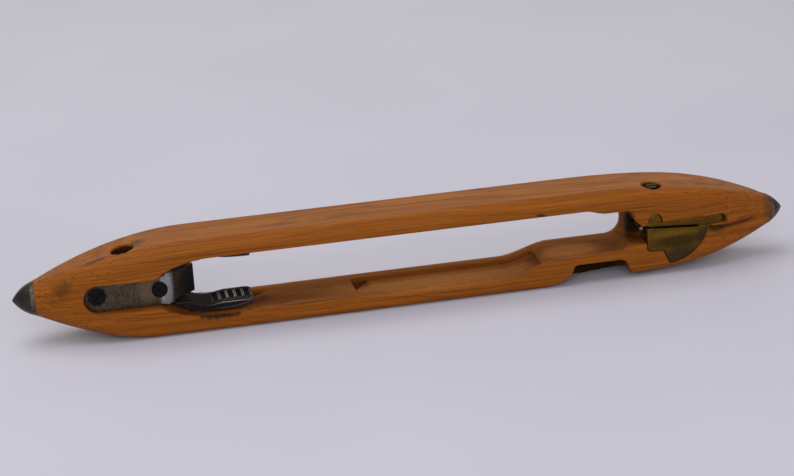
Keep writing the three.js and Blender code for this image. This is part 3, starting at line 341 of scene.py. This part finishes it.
# The ledge that leads the thread on from the eye, and the leaf's edge beside it, by X and Z.
LEDGE_X = (157, 166.1, 175.5, 184.4, 192)
LEDGE_Z = (25.2, 23.4, 23.0, 24.2, 27.0)
LEAF_EDGE_X = (139.6, 146.0, 152.0, 157.2, 160.9)
LEAF_EDGE_Z = (6.2, 8.1, 12.0, 17.7, 25.2)
# How deep the hollow is, the X between which it grows and then ends, and how far down it reaches.
HOLLOW_DEPTH = 3.0
HOLLOW_GROWS = (148, 164)
HOLLOW_ENDS = (176, 192)
HOLLOW_HEIGHT = 15
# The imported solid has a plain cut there: part of an ellipsoid, centred so far out of the face and turned.
CUT_X, CUT_Z, CUT_OUT = 171.0, 24, 3
CUT_HALF = (27, 6, 17)
CUT_TURN = 0.19
# Points this near to the cut's skin or the face are moved, if they are this clear of the leaf and the ledge.
ON_CUT, ON_FACE = 0.12, 0.4
CLEAR_OF_LEAF, CLEAR_OF_LEDGE = 0.9, 0.35
# They lie left of this X, no deeper than this Y, and within this share of the round at the wall's edge.
LAST_X, DEEPEST_Y, SHARE_OF_ROUND = 194, -2, 0.9


def hollow_below_ledge(piece):
    """Makes the plain cut below the ledge a hollow: deepest under it, run out towards the wall's edge."""
    x, y, z = in_millimetres(piece)
    ledge = np.interp(x, LEDGE_X, LEDGE_Z)
    leaf_edge = np.interp(z, LEAF_EDGE_Z, LEAF_EDGE_X)
    sides, back = block_sides(x, EYE_END)
    full = ROUNDS[(-1, -1)]
    radius = full + (ROUND_AT_RING * EYE_END["radius"] - full) * back
    into_round = np.clip(sides["z_low"] + radius - z, 0, radius)
    face = sides["y_low"] + radius - np.sqrt(radius**2 - into_round**2)

    cut_y = block_sides(np.array([CUT_X]), EYE_END)[0]["y_low"] - CUT_OUT
    along, deep = x - CUT_X, y - cut_y
    turned_x = math.cos(CUT_TURN) * along + math.sin(CUT_TURN) * deep
    turned_y = math.cos(CUT_TURN) * deep - math.sin(CUT_TURN) * along
    half_x, half_y, half_z = CUT_HALF
    from_centre = (turned_x / half_x) ** 2 + (turned_y / half_y) ** 2 + ((z - CUT_Z) / half_z) ** 2
    on_cut = np.abs(from_centre - 1) < ON_CUT
    on_face = np.abs(y - face) < ON_FACE

    right_of_leaf = (x > leaf_edge + CLEAR_OF_LEAF) & (x < LAST_X) & (y < DEEPEST_Y)
    below_ledge = (z < ledge - CLEAR_OF_LEDGE) & (into_round < SHARE_OF_ROUND * radius)
    there = (on_cut | on_face) & right_of_leaf & below_ledge
    ends_from, ends_at = HOLLOW_ENDS
    depth = HOLLOW_DEPTH * eased(x, *HOLLOW_GROWS) * eased(-x, -ends_at, -ends_from)
    depth = depth * eased(z - ledge, -HOLLOW_HEIGHT, 1)
    put_points(piece, x, np.where(there, face + depth, y), z)


# Where the rings of the bobbins have bruised the edge of the front wall, X and Z.
BRUISES = ((-110.7, 9.3), (-107.2, 8.4), (-103.6, 8.1), (-99.9, 8.5), (-96.3, 8.3), (-92.7, 8.6))
# How wide a bruise is on the face, how far it reaches into the wall, and how deep it is pressed.
BRUISE_RADIUS, BRUISE_REACH, BRUISE_DEPTH = 1.5, 2.5, 0.7


def bruise_edge(piece):
    """Presses the bruises into the edge between the top face and the pocket."""
    x, y, z = in_millimetres(piece)
    for at_x, at_z in BRUISES:
        off = ((x - at_x) / BRUISE_RADIUS) ** 2 + ((z - at_z) / BRUISE_RADIUS) ** 2
        off = off + ((y - BLOCK["y_low"]) / BRUISE_REACH) ** 2
        press = np.clip(1 - off, 0, 1) ** 2
        y = y + BRUISE_DEPTH * press
        z = z - BRUISE_DEPTH * press
    put_points(piece, x, y, z)


# The skin stops this short of the rings. Between these distances from them it is drawn out to meet them.
RING_GAP = 0.45
DRAWN_FROM, DRAWN_TO = 1.2, 0.4


def meet_rings(piece):
    """Brings the ends of the block up against the rings of the steel points."""
    x, y, z = in_millimetres(piece)
    at_spring_ring = eased(-x, -SPRING_END["ring"] - DRAWN_FROM, -SPRING_END["ring"] - DRAWN_TO)
    at_eye_ring = eased(x, EYE_END["ring"] - DRAWN_FROM, EYE_END["ring"] - DRAWN_TO)
    put_points(piece, x - RING_GAP * at_spring_ring + RING_GAP * at_eye_ring, y, z)


# Marks on the wood: each has a centre and half sizes in millimetres, a ragged edge and a tilt about Y.
# Painted light on the channel and the ramp.
LIT_CHANNEL_AND_RAMP = (
    ((12.0, -6.0, 8.4), (80.0, 16.0, 3.6), 0.4, 0.0),
    ((86.0, -4.0, 15.5), (24.0, 13.0, 4.0), 0.5, 0.0),
)
# Painted shade in the thread pocket, with grime.
SHADE_IN_THREAD_POCKET = ((121.0, -3.0, 26.0), (9.0, 13.0, 11.5), 0.25, 0.0)
# Painted shade in the channel's pit.
SHADE_IN_CHANNEL_PIT = ((-24.0, 5.0, 6.0), (6.5, 8.0, 3.4), 0.5, 0.0)
# A painted shadow under the ledge.
SHADOW_UNDER_LEDGE = (
    ((176.0, -12.0, 22.2), (17.0, 7.0, 2.4), 0.3, 0.04),
    ((166.0, -13.0, 21.6), (8.0, 5.0, 3.6), 0.4, 0.0),
    ((166.0, -13.0, 22.2), (8.0, 5.0, 2.4), 0.3, 0.0),
)
# Painted shade inside the counterbores, deeper with depth.
SHADE_IN_COUNTERBORES = (
    ((-147.8, -4.2, 41.5), (16.0, 16.0, 15.0), 0.2, 0.0),
    ((132.2, -4.0, 43.0), (14.0, 14.0, 14.0), 0.1, 0.0),
)
# Painted shade in the bed of the jaw, with grime.
SHADE_AND_GRIME_IN_JAW_BED = (
    ((-112.0, -14.0, 11.5), (26.0, 9.0, 5.0), 0.4, 0.0),
    ((-80.0, -2.0, 9.0), (9.0, 9.0, 3.2), 0.6, 0.0),
)
BESIDE_EYE_POINT = ((197.5, -6.0, 27.0), (6.0, 13.0, 12.0), 0.9, 0.0)
# Painted shade in the recess past the rail's end.
SHADE_BEYOND_RAIL = ((169.6, -14.0, 26.2), (2.4, 4.0, 2.6), 0.4, 0.0)
# Painted shade on the wood inside the cutter notch.
SHADE_IN_CUTTER_NOTCH = ((101.0, -2.0, 4.5), (27.0, 14.2, 11.5), 0.1, 0.0)
KNOT = (
    ((-180.6, -12.0, 30.4), (4.2, 4.0, 4.6), 1.7, 0.3),
    ((-178.0, -13.0, 33.4), (4.0, 4.0, 2.2), 1.7, -0.3),
)
OILED_PATCH = ((-180.0, -12.0, 31.0), (9.0, 8.0, 8.0), 0.8, 0.0)
OIL_MARKS = (
    ((-139.6, -1.0, 47.6), (5.0, 6.0, 4.0), 1.7, 0.0),
    ((-156.0, -6.0, 42.5), (7.5, 5.0, 1.2), 1.2, 0.25),
    ((-162.0, -8.5, 43.4), (10.0, 2.6, 0.9), 0.8, 0.3),
    ((-164.0, -10.0, 40.2), (12.0, 4.0, 0.8), 0.8, 0.22),
    ((-112.0, -7.0, 49.5), (2.0, 1.0, 1.5), 0.6, 0.0),
)
DARK_LINE = (
    ((147.5, -4.8, 45.9), (8.5, 1.3, 1.3), 0.5, -0.17),
    ((160.0, -3.2, 43.6), (8.5, 1.3, 1.3), 0.5, -0.21),
    ((171.0, -1.4, 41.1), (7.5, 1.3, 1.3), 0.5, -0.26),
)
RAMP_FOOT = ((66.0, 2.0, 12.2), (5.0, 8.0, 2.6), 1.4, 0.0)
WALL_DENT = ((69.2, -16.5, 41.8), (3.6, 3.4, 1.2), 0.7, -0.1)
BRUISED_BAND = ((-102.0, -17.0, 8.6), (12.5, 2.6, 1.5), 0.7, -0.06)
BRUISE_MARKS = [((x, BLOCK["y_low"], z), (2.4, 3.0, 2.2), 0.6, 0.0) for x, z in BRUISES]


def wood_finish():
    """Oiled hardwood with long grain, darker where it is cut deep, and the marks of its work."""
    wood = Finish("oiled_hardwood")
    # Layers of growth lie along the block and cut its tapers slantwise; the sway bends them.
    sway = wood.noise((0.006, 0.03, 0.03), 2.0, 0.5)
    through_layers = (0.012, 0.34, 0.94)
    across = wood.node("ShaderNodeVectorMath", {0: wood.place, 1: through_layers}, operation="DOT_PRODUCT")
    layer = wood.sums("MULTIPLY_ADD", sway, 26.0, across.outputs[1])
    rings = wood.node(
        "ShaderNodeTexNoise",
        {"W": wood.sums("MULTIPLY", layer, 0.45), "Scale": 1.0, "Detail": 6.0, "Roughness": 0.75},
        noise_dimensions="1D",
    ).outputs[0]
    streak = wood.noise((0.008, 0.45, 0.45), 5.0, 0.66, 0.3, 3.0)
    thread = wood.noise((0.013, 1.4, 1.4), 4.0, 0.62, 0.1, 23.0)
    fibre = wood.noise((0.06, 3.0, 3.0), 3.0, 0.6, 0.0, 7.0)
    pores = wood.noise((0.16, 4.2, 4.2), 2.0, 0.5, 0.0, 11.0)
    cloud = wood.noise((0.02, 0.06, 0.06), 3.0, 0.55, 0.2, 17.0)

    # Early and late wood, dark and pale streaks, reddish clouds, fine dark lines, fibres and pores.
    colour = wood.mix(wood.span(rings, 0.3, 0.7), shown(160, 93, 26), shown(128, 67, 14))
    colour = wood.mix(wood.span(streak, 0.52, 0.72, 0.0, 0.42), colour, shown(104, 48, 10))
    colour = wood.mix(wood.span(streak, 0.46, 0.30, 0.0, 0.4), colour, shown(174, 104, 34))
    colour = wood.mix(wood.span(cloud, 0.45, 0.7, 0.0, 0.35), colour, shown(146, 72, 18))
    colour = wood.mix(wood.span(thread, 0.53, 0.68, 0.0, 0.75), colour, shown(92, 43, 10))
    colour = wood.mix(wood.span(fibre, 0.35, 0.7, 0.0, 0.3), colour, shown(108, 54, 12))
    colour = wood.mix(wood.span(pores, 0.62, 0.74, 0.0, 0.5), colour, shown(70, 34, 8))

    # Oil and lint have darkened the edges a little. The cuts darken with their depth below the outside, and
    # the
    # hollows darker still: painted shade, with some grime in the hollows.
    wear_and_shade = wood.mark("wear_and_shade")
    depth = wood.mark("depth")
    colour = wood.mix(wood.span(wear_and_shade, 0.56, 0.9, 0.0, 0.4), colour, shown(126, 66, 22))
    colour = wood.mix(wood.span(depth, 0.6, 5.0, 0.0, 0.4), colour, shown(110, 62, 18))
    colour = wood.mix(wood.span(wear_and_shade, 0.46, 0.15, 0.0, 0.8), colour, shown(38, 19, 9))
    # Painted light brightens the up-facing channel in the front wall and the ramp at its end.
    colour = wood.stain(colour, 0.8, shown(196, 128, 64), *LIT_CHANNEL_AND_RAMP)
    # Painted shade darkens the thread pocket, the pit, the counterbores, the bed of the jaw, the recess past
    # the rail and the cutter notch, and a painted shadow lies under the ledge; there is grime too in the
    # pocket and the jaw's bed, and grime darkens the wood beside the eye end's point.
    colour = wood.stain(colour, 0.94, shown(26, 12, 4), SHADE_IN_THREAD_POCKET)
    colour = wood.stain(colour, 0.75, shown(58, 32, 16), SHADE_IN_CHANNEL_PIT, *SHADOW_UNDER_LEDGE)
    below = wood.span(depth, 0.5, 1.6, 0.0, 0.94)
    colour = wood.stain(colour, below, shown(28, 16, 9), *SHADE_IN_COUNTERBORES)
    colour = wood.stain(colour, wood.sums("MULTIPLY", below, 0.75), shown(74, 36, 18), *SHADE_AND_GRIME_IN_JAW_BED)
    colour = wood.stain(colour, 0.6, shown(74, 54, 32), BESIDE_EYE_POINT)
    colour = wood.stain(colour, 0.75, shown(38, 21, 9), SHADE_BEYOND_RAIL)
    colour = wood.stain(colour, 0.95, shown(24, 12, 5), SHADE_IN_CUTTER_NOTCH)
    # The knot, the oil marks, the dark line along the right taper and the dents, as the photograph has them.
    colour = wood.stain(colour, 0.5, shown(66, 40, 16), *KNOT)
    colour = wood.stain(colour, 0.3, shown(96, 56, 18), OILED_PATCH)
    colour = wood.stain(colour, 0.7, shown(58, 34, 14), *OIL_MARKS, *DARK_LINE, RAMP_FOOT)
    colour = wood.stain(colour, 0.8, shown(40, 21, 9), WALL_DENT, BRUISED_BAND, *BRUISE_MARKS)

    # Open cuts and rubbed edges are duller than the oiled outside.
    roughness = wood.span(streak, 0.3, 0.7, 0.44, 0.54)
    roughness = wood.sums("ADD", roughness, wood.span(depth, 0.6, 5.0, 0.0, 0.35))
    roughness = wood.sums("ADD", roughness, wood.span(wear_and_shade, 0.56, 0.8, 0.0, 0.3))
    wood.raise_by(thread, 0.04)
    wood.raise_by(fibre, -0.05)
    wood.raise_by(pores, -0.06)
    wood.raise_by(streak, 0.06)
    return wood.done(colour, roughness, Specular_IOR_Level=0.16, Specular_Tint=(1.0, 0.8, 0.55, 1.0))


body = worn_copy("shuttle_body", "body_of_hardwood", voxel=0.6, passes=2)
fair_outside(body, reach=0.2)
hollow_below_ledge(body)
bruise_edge(body)
meet_rings(body)
thinned(body, most_triangles=190_000)
mark_bends(body, edge_radius=1.2)
mark_depth(body)
fitted(body, wood_finish(), "shuttle", "shuttle_body")

# The steel points.
# Turned from bar, hardened and driven into the ends with their tangs. The loom's picker strikes them. A
# painted highlight brightens them beside the ring.


def steel_finish(name, dark, light, rust, rough, bright=2.2):
    """Mottled steel with rust-brown blotches and its edges so many times brighter: colour and roughness."""
    steel = Finish(name)
    mottle = steel.noise((0.8, 0.8, 0.8), 5.0, 0.68, 0.4)
    fine = steel.noise((2.4, 2.4, 2.4), 4.0, 0.6, 0.0, 5.0)
    blotch = steel.noise((0.3, 0.3, 0.3), 5.0, 0.66, 0.3, 9.0)
    wear_and_shade = steel.mark("wear_and_shade")
    colour = steel.mix(steel.span(mottle, 0.35, 0.68), dark, light)
    colour = steel.mix(steel.span(blotch, 0.52, 0.7, 0.0, 0.6), colour, rust)
    colour = steel.mix(steel.span(wear_and_shade, 0.6, 0.95, 0.0, 0.8), colour, [min(1.0, bright * c) for c in light])
    # Hollows and creases darker: painted shade.
    colour = steel.mix(steel.span(wear_and_shade, 0.42, 0.1, 0.0, 0.8), colour, [0.3 * c for c in dark])
    roughness = steel.sums("MULTIPLY_ADD", fine, 0.22, rough - 0.11)
    steel.raise_by(fine, 0.02)
    steel.raise_by(mottle, 0.06)
    return steel, colour, roughness


# A painted highlight beside the ring of each point.
HIGHLIGHT_BESIDE_RINGS = [((x, -6.0, 26.0), (1.6, 7.0, 7.0), 1.3, 0.0) for x in (-195.6, 199.2)]


def point_finish():
    """Dark turned steel with fine rings from the tool."""
    tones = shown(50, 44, 42), shown(70, 62, 60), shown(48, 38, 32)
    steel, colour, roughness = steel_finish("point_steel", *tones, rough=0.36, bright=1.1)
    turning = steel.noise((2.6, 0.05, 0.05), 3.0, 0.6, 0.1, 31.0)
    colour = steel.mix(steel.span(turning, 0.5, 0.75, 0.0, 0.4), colour, shown(112, 100, 94))
    colour = steel.stain(colour, 0.5, shown(140, 124, 116), *HIGHLIGHT_BESIDE_RINGS)
    return steel.done(colour, roughness, Metallic=0.9)


tip_steel = point_finish()
for node in ("spring_end_tip", "eye_end_tip"):
    tip = worn_copy(node, node + "_turned", voxel=0.25, passes=4)
    mark_bends(tip, edge_radius=0.6)
    fitted(tip, tip_steel, "shuttle", node)

# The grip.
# A forged U of spring steel with a ribbed jaw on each leg, blackened with oil, held by a heel block, two
# rivets and a bolt. The rings of the bobbins have rubbed the ribs bright; painted shade darkens the grooves
# between them.

RIBS = ((-94.0, -4.0, 24.0), (19.0, 16.0, 22.0))


def grip_finish():
    """Blackened steel, rough and not metallic to the eye, with bright metal on the ribs alone."""
    tones = shown(26, 21, 23), shown(38, 32, 34), shown(32, 23, 21)
    steel, colour, roughness = steel_finish("blackened_steel", *tones, rough=0.8, bright=3.0)
    wear_and_shade = steel.mark("wear_and_shade")
    ribbed = steel.spot(*RIBS)
    rubbed = steel.sums("MULTIPLY", steel.span(wear_and_shade, 0.52, 0.67), ribbed)
    # Painted shade in the grooves between the ribs.
    groove_shade = steel.sums("MULTIPLY", steel.span(wear_and_shade, 0.485, 0.40, 0.0, 0.95), ribbed)
    colour = steel.mix(groove_shade, colour, shown(7, 6, 7))
    colour = steel.mix(steel.sums("MULTIPLY", rubbed, 0.9), colour, shown(176, 172, 172))
    roughness = steel.sums("MULTIPLY_ADD", rubbed, -0.4, roughness)
    return steel.done(colour, roughness, Metallic=rubbed, Specular_IOR_Level=0.1)


def keep_solids(finish, *nodes):
    """Leaves these solids as they are, in a finish. They carry no bend mark, so finishes that read it take
    them for hollows and darken them all over with painted shade.
    """
    for node in nodes:
        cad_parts[node].data.materials.clear()
        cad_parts[node].data.materials.append(finish)


grip_steel = grip_finish()
for node in ("front_jaw", "back_jaw"):
    jaw = worn_copy(node, node + "_forged", voxel=0.22, passes=2)
    mark_bends(jaw, edge_radius=0.5)
    fitted(jaw, grip_steel, node, node)
keep_solids(grip_steel, "grip_spring", "heel_block", "heel_rivet_outer", "heel_rivet_inner")
keep_solids(grip_steel, "cross_bolt", "cross_bolt_nut", "bolt_washer", "nut_washer")

# The cover strap.
# A strip of steel let into the top face over the grip and bent down as a guide for the bobbin. Bobbins have
# scraped it bright at the bend; the rest is stained, with painted shade at its left end.

# Painted shade at the strap's left end.
STRAP_LEFT_END_SHADE = ((-170.0, -12.0, 22.0), (8.0, 12.0, 14.0), 0.6, 0.0)
STRAP_BY_SCREW = ((-137.5, -12.0, 25.0), (6.0, 5.0, 10.0), 0.8, 0.0)
STRAP_GUIDE = ((-112.0, -2.0, 24.2), (11.5, 10.5, 14.0), 0.5, 0.0)
STRAP_BEND = ((-126.6, -11.0, 24.0), (5.6, 5.0, 17.0), 0.9, 0.0)


def strap_finish():
    """Rolled strip, streaked across, with its stains and the scraped bend."""
    tones = shown(64, 56, 46), shown(98, 86, 70), shown(82, 62, 42)
    steel, colour, roughness = steel_finish("stained_steel", *tones, rough=0.42)
    drawn = steel.noise((0.9, 0.9, 0.07), 4.0, 0.6, 0.1, 41.0)
    colour = steel.mix(steel.span(drawn, 0.5, 0.72, 0.0, 0.5), colour, shown(44, 39, 34))
    colour = steel.stain(colour, 0.5, shown(44, 35, 27), STRAP_LEFT_END_SHADE)
    colour = steel.stain(colour, 0.5, shown(124, 100, 74), STRAP_BY_SCREW)
    colour = steel.stain(colour, 0.8, shown(40, 41, 47), STRAP_GUIDE)
    colour = steel.stain(colour, 0.8, shown(196, 198, 202), STRAP_BEND)
    return steel.done(colour, roughness, Metallic=0.9)


strap = worn_copy("cover_strap", "cover_strap_bent", voxel=0.25, passes=3)
mark_bends(strap, edge_radius=0.5)
fitted(strap, strap_finish(), "shuttle", "cover_strap")

# The screws that show.
# Turned steel with sawn slots, black with oil: the strap's lock screw with its notched head, the strap's
# plain screw, and the eye's screw at the bottom of its counterbore.


def screw_finish():
    tones = shown(20, 19, 20), shown(31, 29, 30), shown(26, 21, 18)
    steel, colour, roughness = steel_finish("screw_steel", *tones, rough=0.52)
    return steel.done(colour, roughness, Metallic=0.9)


screw_steel = screw_finish()
for node in ("star_screw", "strap_screw", "eye_screw"):
    screw = worn_copy(node, node + "_cut", voxel=0.12, passes=2)
    mark_bends(screw, edge_radius=0.3)
    fitted(screw, screw_steel, "shuttle", node)

# The brass eye.
# A casting let flush into the face, with a rail, an ear for its screw and a leaf that covers the thread's
# way. A painted highlight lies along the leaf's upper edge, with a darker band below it; its lower corner has
# painted shade and grey tarnish.

# A painted highlight along the leaf's upper edge.
LEAF_TOP_HIGHLIGHT = ((139.0, -17.0, 23.2), (17.0, 8.0, 3.0), 0.4, 0.03)
LEAF_MIDDLE = ((143.0, -17.0, 18.4), (20.0, 8.0, 4.6), 0.5, 0.04)
RAIL = ((150.0, -17.0, 26.5), (30.0, 8.0, 3.4), 0.6, 0.0)
# Painted shade, with tarnish, where the leaf's corner curves down.
LEAF_CORNER_SHADE_AND_TARNISH = (
    ((147.0, -17.0, 8.0), (16.0, 8.0, 11.0), 0.6, 0.0),
    ((158.0, -17.0, 19.0), (6.0, 8.0, 8.0), 0.6, 0.0),
)


def brass_finish(name, light, dark, tarnish):
    """Mottled brass with streaks of tarnish and brighter edges: its colour and roughness."""
    brass = Finish(name)
    mottle = brass.noise((0.5, 0.5, 0.5), 5.0, 0.66, 0.3)
    streaks = brass.noise((0.12, 0.9, 0.9), 4.0, 0.6, 0.2, 4.0)
    fine = brass.noise((3.0, 3.0, 3.0), 3.0, 0.6, 0.0, 8.0)
    wear_and_shade = brass.mark("wear_and_shade")
    colour = brass.mix(brass.span(mottle, 0.35, 0.7), light, dark)
    colour = brass.mix(brass.span(streaks, 0.5, 0.75, 0.0, 0.5), colour, tarnish)
    colour = brass.mix(brass.span(wear_and_shade, 0.6, 0.95, 0.0, 0.7), colour, [1.7 * c for c in light])
    # Hollows and creases darker: painted shade.
    colour = brass.mix(brass.span(wear_and_shade, 0.42, 0.1, 0.0, 0.8), colour, [0.3 * c for c in dark])
    roughness = brass.sums("MULTIPLY_ADD", fine, 0.2, 0.32)
    brass.raise_by(fine, 0.02)
    brass.raise_by(mottle, 0.08)
    return brass, colour, roughness


def eye_finish():
    """The cast brass with its painted highlight and shade and its tarnished places."""
    tones = shown(112, 82, 20), shown(90, 64, 17), shown(66, 50, 22)
    brass, colour, roughness = brass_finish("aged_brass", *tones)
    colour = brass.stain(colour, 0.5, shown(128, 98, 26), LEAF_TOP_HIGHLIGHT)
    colour = brass.stain(colour, 0.8, shown(60, 43, 16), LEAF_MIDDLE)
    colour = brass.stain(colour, 0.5, shown(76, 54, 18), RAIL)
    colour = brass.stain(colour, 0.8, shown(56, 46, 34), *LEAF_CORNER_SHADE_AND_TARNISH)
    return brass.done(colour, roughness, Metallic=0.9)


eye = worn_copy("shuttle_eye", "eye_casting", voxel=0.28, passes=2)
mark_bends(eye, edge_radius=0.5)
fitted(eye, eye_finish(), "shuttle", "shuttle_eye")

# The thread's brake, inside the eye.
# A leaf of rolled brass, screwed down at one end, presses the thread on a pad of felt; a steel pin across
# the mouth catches it. Only the pin's bright end shows from outside.

PIN_END = ((123.2, -17.4, 28.0), (3.0, 3.0, 3.0), 0.0, 0.0)


def leaf_finish():
    tones = shown(168, 142, 66), shown(142, 118, 52), shown(104, 88, 48)
    brass, colour, roughness = brass_finish("rolled_brass", *tones)
    return brass.done(colour, roughness, Metallic=0.9)


def pin_finish():
    tones = shown(30, 28, 24), shown(46, 43, 36), shown(36, 32, 22)
    steel, colour, roughness = steel_finish("pin_steel", *tones, rough=0.6)
    colour = steel.stain(colour, 1.0, shown(214, 200, 176), PIN_END)
    return steel.done(colour, roughness, Metallic=0.9)


def felt_finish():
    """Pressed wool with fine matted hairs and grey lint."""
    felt = Finish("pressed_felt")
    hairs = felt.noise((1.6, 1.6, 1.6), 5.0, 0.7, 1.2)
    lint = felt.noise((0.3, 0.3, 0.3), 3.0, 0.5, 0.0, 6.0)
    colour = felt.mix(felt.span(hairs, 0.3, 0.7), shown(206, 198, 180), shown(168, 160, 142))
    colour = felt.mix(felt.span(lint, 0.5, 0.7, 0.0, 0.5), colour, shown(138, 128, 112))
    felt.raise_by(hairs, 0.25)
    return felt.done(colour, felt.span(hairs, 0.3, 0.7, 0.88, 0.98), Specular_IOR_Level=0.2)


keep_solids(leaf_finish(), "tension_leaf")
keep_solids(pin_finish(), "thread_guide_pin")
keep_solids(screw_steel, "leaf_screw")
keep_solids(felt_finish(), "tension_felt")

# The table.
# A sheet of pale matt paper, wide enough that its edge shows in no view. It lies a hair below the shuttle.

TABLE_HALF = 12.0
TABLE_Z = -0.00005


def paper_finish():
    paper = Finish("pale_paper")
    tint = paper.noise((0.004, 0.004, 0.004), 2.0)
    colour = paper.mix(paper.span(tint, 0.3, 0.7), shown(203, 201, 214), shown(199, 197, 210))
    roughness = paper.span(paper.noise((1.5, 1.5, 1.5)), 0.3, 0.7, 0.75, 0.9)
    return paper.done(colour, roughness, Specular_IOR_Level=0.2)


table = bpy.data.meshes.new("table")
corners = [(x * TABLE_HALF, y * TABLE_HALF, TABLE_Z) for x, y in ((-1, -1), (1, -1), (1, 1), (-1, 1))]
table.from_pydata(corners, [], [(0, 1, 2, 3)])
table.materials.append(paper_finish())
floor = bpy.data.objects.new("table_top", table)
scene.collection.objects.link(floor)

# The light.
# Three broad soft boxes aimed at the shuttle, in a pale room: one above, one in front, and a warm one low
# behind that lights the far rounds.

ROOM_BRIGHTNESS = 0.42


def soft_box(name, place, size, power, colour=(1.0, 1.0, 1.0)):
    """A lamp of that width and height that looks at the middle of the shuttle."""
    light = bpy.data.lights.new(name, "AREA")
    light.color = colour
    light.shape = "RECTANGLE"
    light.size, light.size_y = size
    light.energy = power
    lamp = bpy.data.objects.new(name, light)
    scene.collection.objects.link(lamp)
    lamp.location = place
    lamp.rotation_mode = "QUATERNION"
    lamp.rotation_quaternion = (-Vector(place)).to_track_quat("-Z", "Y")


soft_box("overhead_box", (-0.45, 0.1, 1.6), size=(1.7, 1.3), power=14)
soft_box("back_panel", (0.15, 2.0, 0.75), size=(2.4, 0.9), power=5, colour=(1.0, 0.97, 0.6))
soft_box("front_box", (-0.15, -1.6, 0.9), size=(1.6, 1.0), power=11)

world = bpy.data.worlds.new("room")
scene.world = world
world.use_nodes = True
background = world.node_tree.nodes["Background"]
background.inputs["Color"].default_value = (1.0, 0.99, 1.0, 1.0)
background.inputs["Strength"].default_value = ROOM_BRIGHTNESS

# The camera.
# It stands where the photograph was taken from: in front, a little above the shuttle and left of its middle.
# How far off it is, and how it is turned, come from the edges and round heads that the photograph shows.

CAMERA_PLACE = Vector((-0.19617, -1.13319, 0.47186))
CAMERA_AIM = Vector((0.15575, 0.92101, -0.35704))
CAMERA_ROLL = math.radians(-3.518)
SENSOR_MM = 36
FOCAL_PIXELS = 2350
PICTURE_PIXELS = 794

camera = bpy.data.objects.new("camera", bpy.data.cameras.new("camera"))
scene.collection.objects.link(camera)
camera.data.sensor_width = SENSOR_MM
camera.data.lens = FOCAL_PIXELS * SENSOR_MM / PICTURE_PIXELS
camera.data.clip_start = 0.05
camera.data.clip_end = 50
level_right = CAMERA_AIM.cross(Vector((0, 0, 1))).normalized()
level_up = level_right.cross(CAMERA_AIM)
right = math.cos(CAMERA_ROLL) * level_right + math.sin(CAMERA_ROLL) * level_up
up = math.cos(CAMERA_ROLL) * level_up - math.sin(CAMERA_ROLL) * level_right
turn = Matrix((right, up, -CAMERA_AIM)).transposed().to_4x4()
camera.matrix_world = Matrix.Translation(CAMERA_PLACE) @ turn
scene.camera = camera

scene.view_settings.view_transform = "Standard"
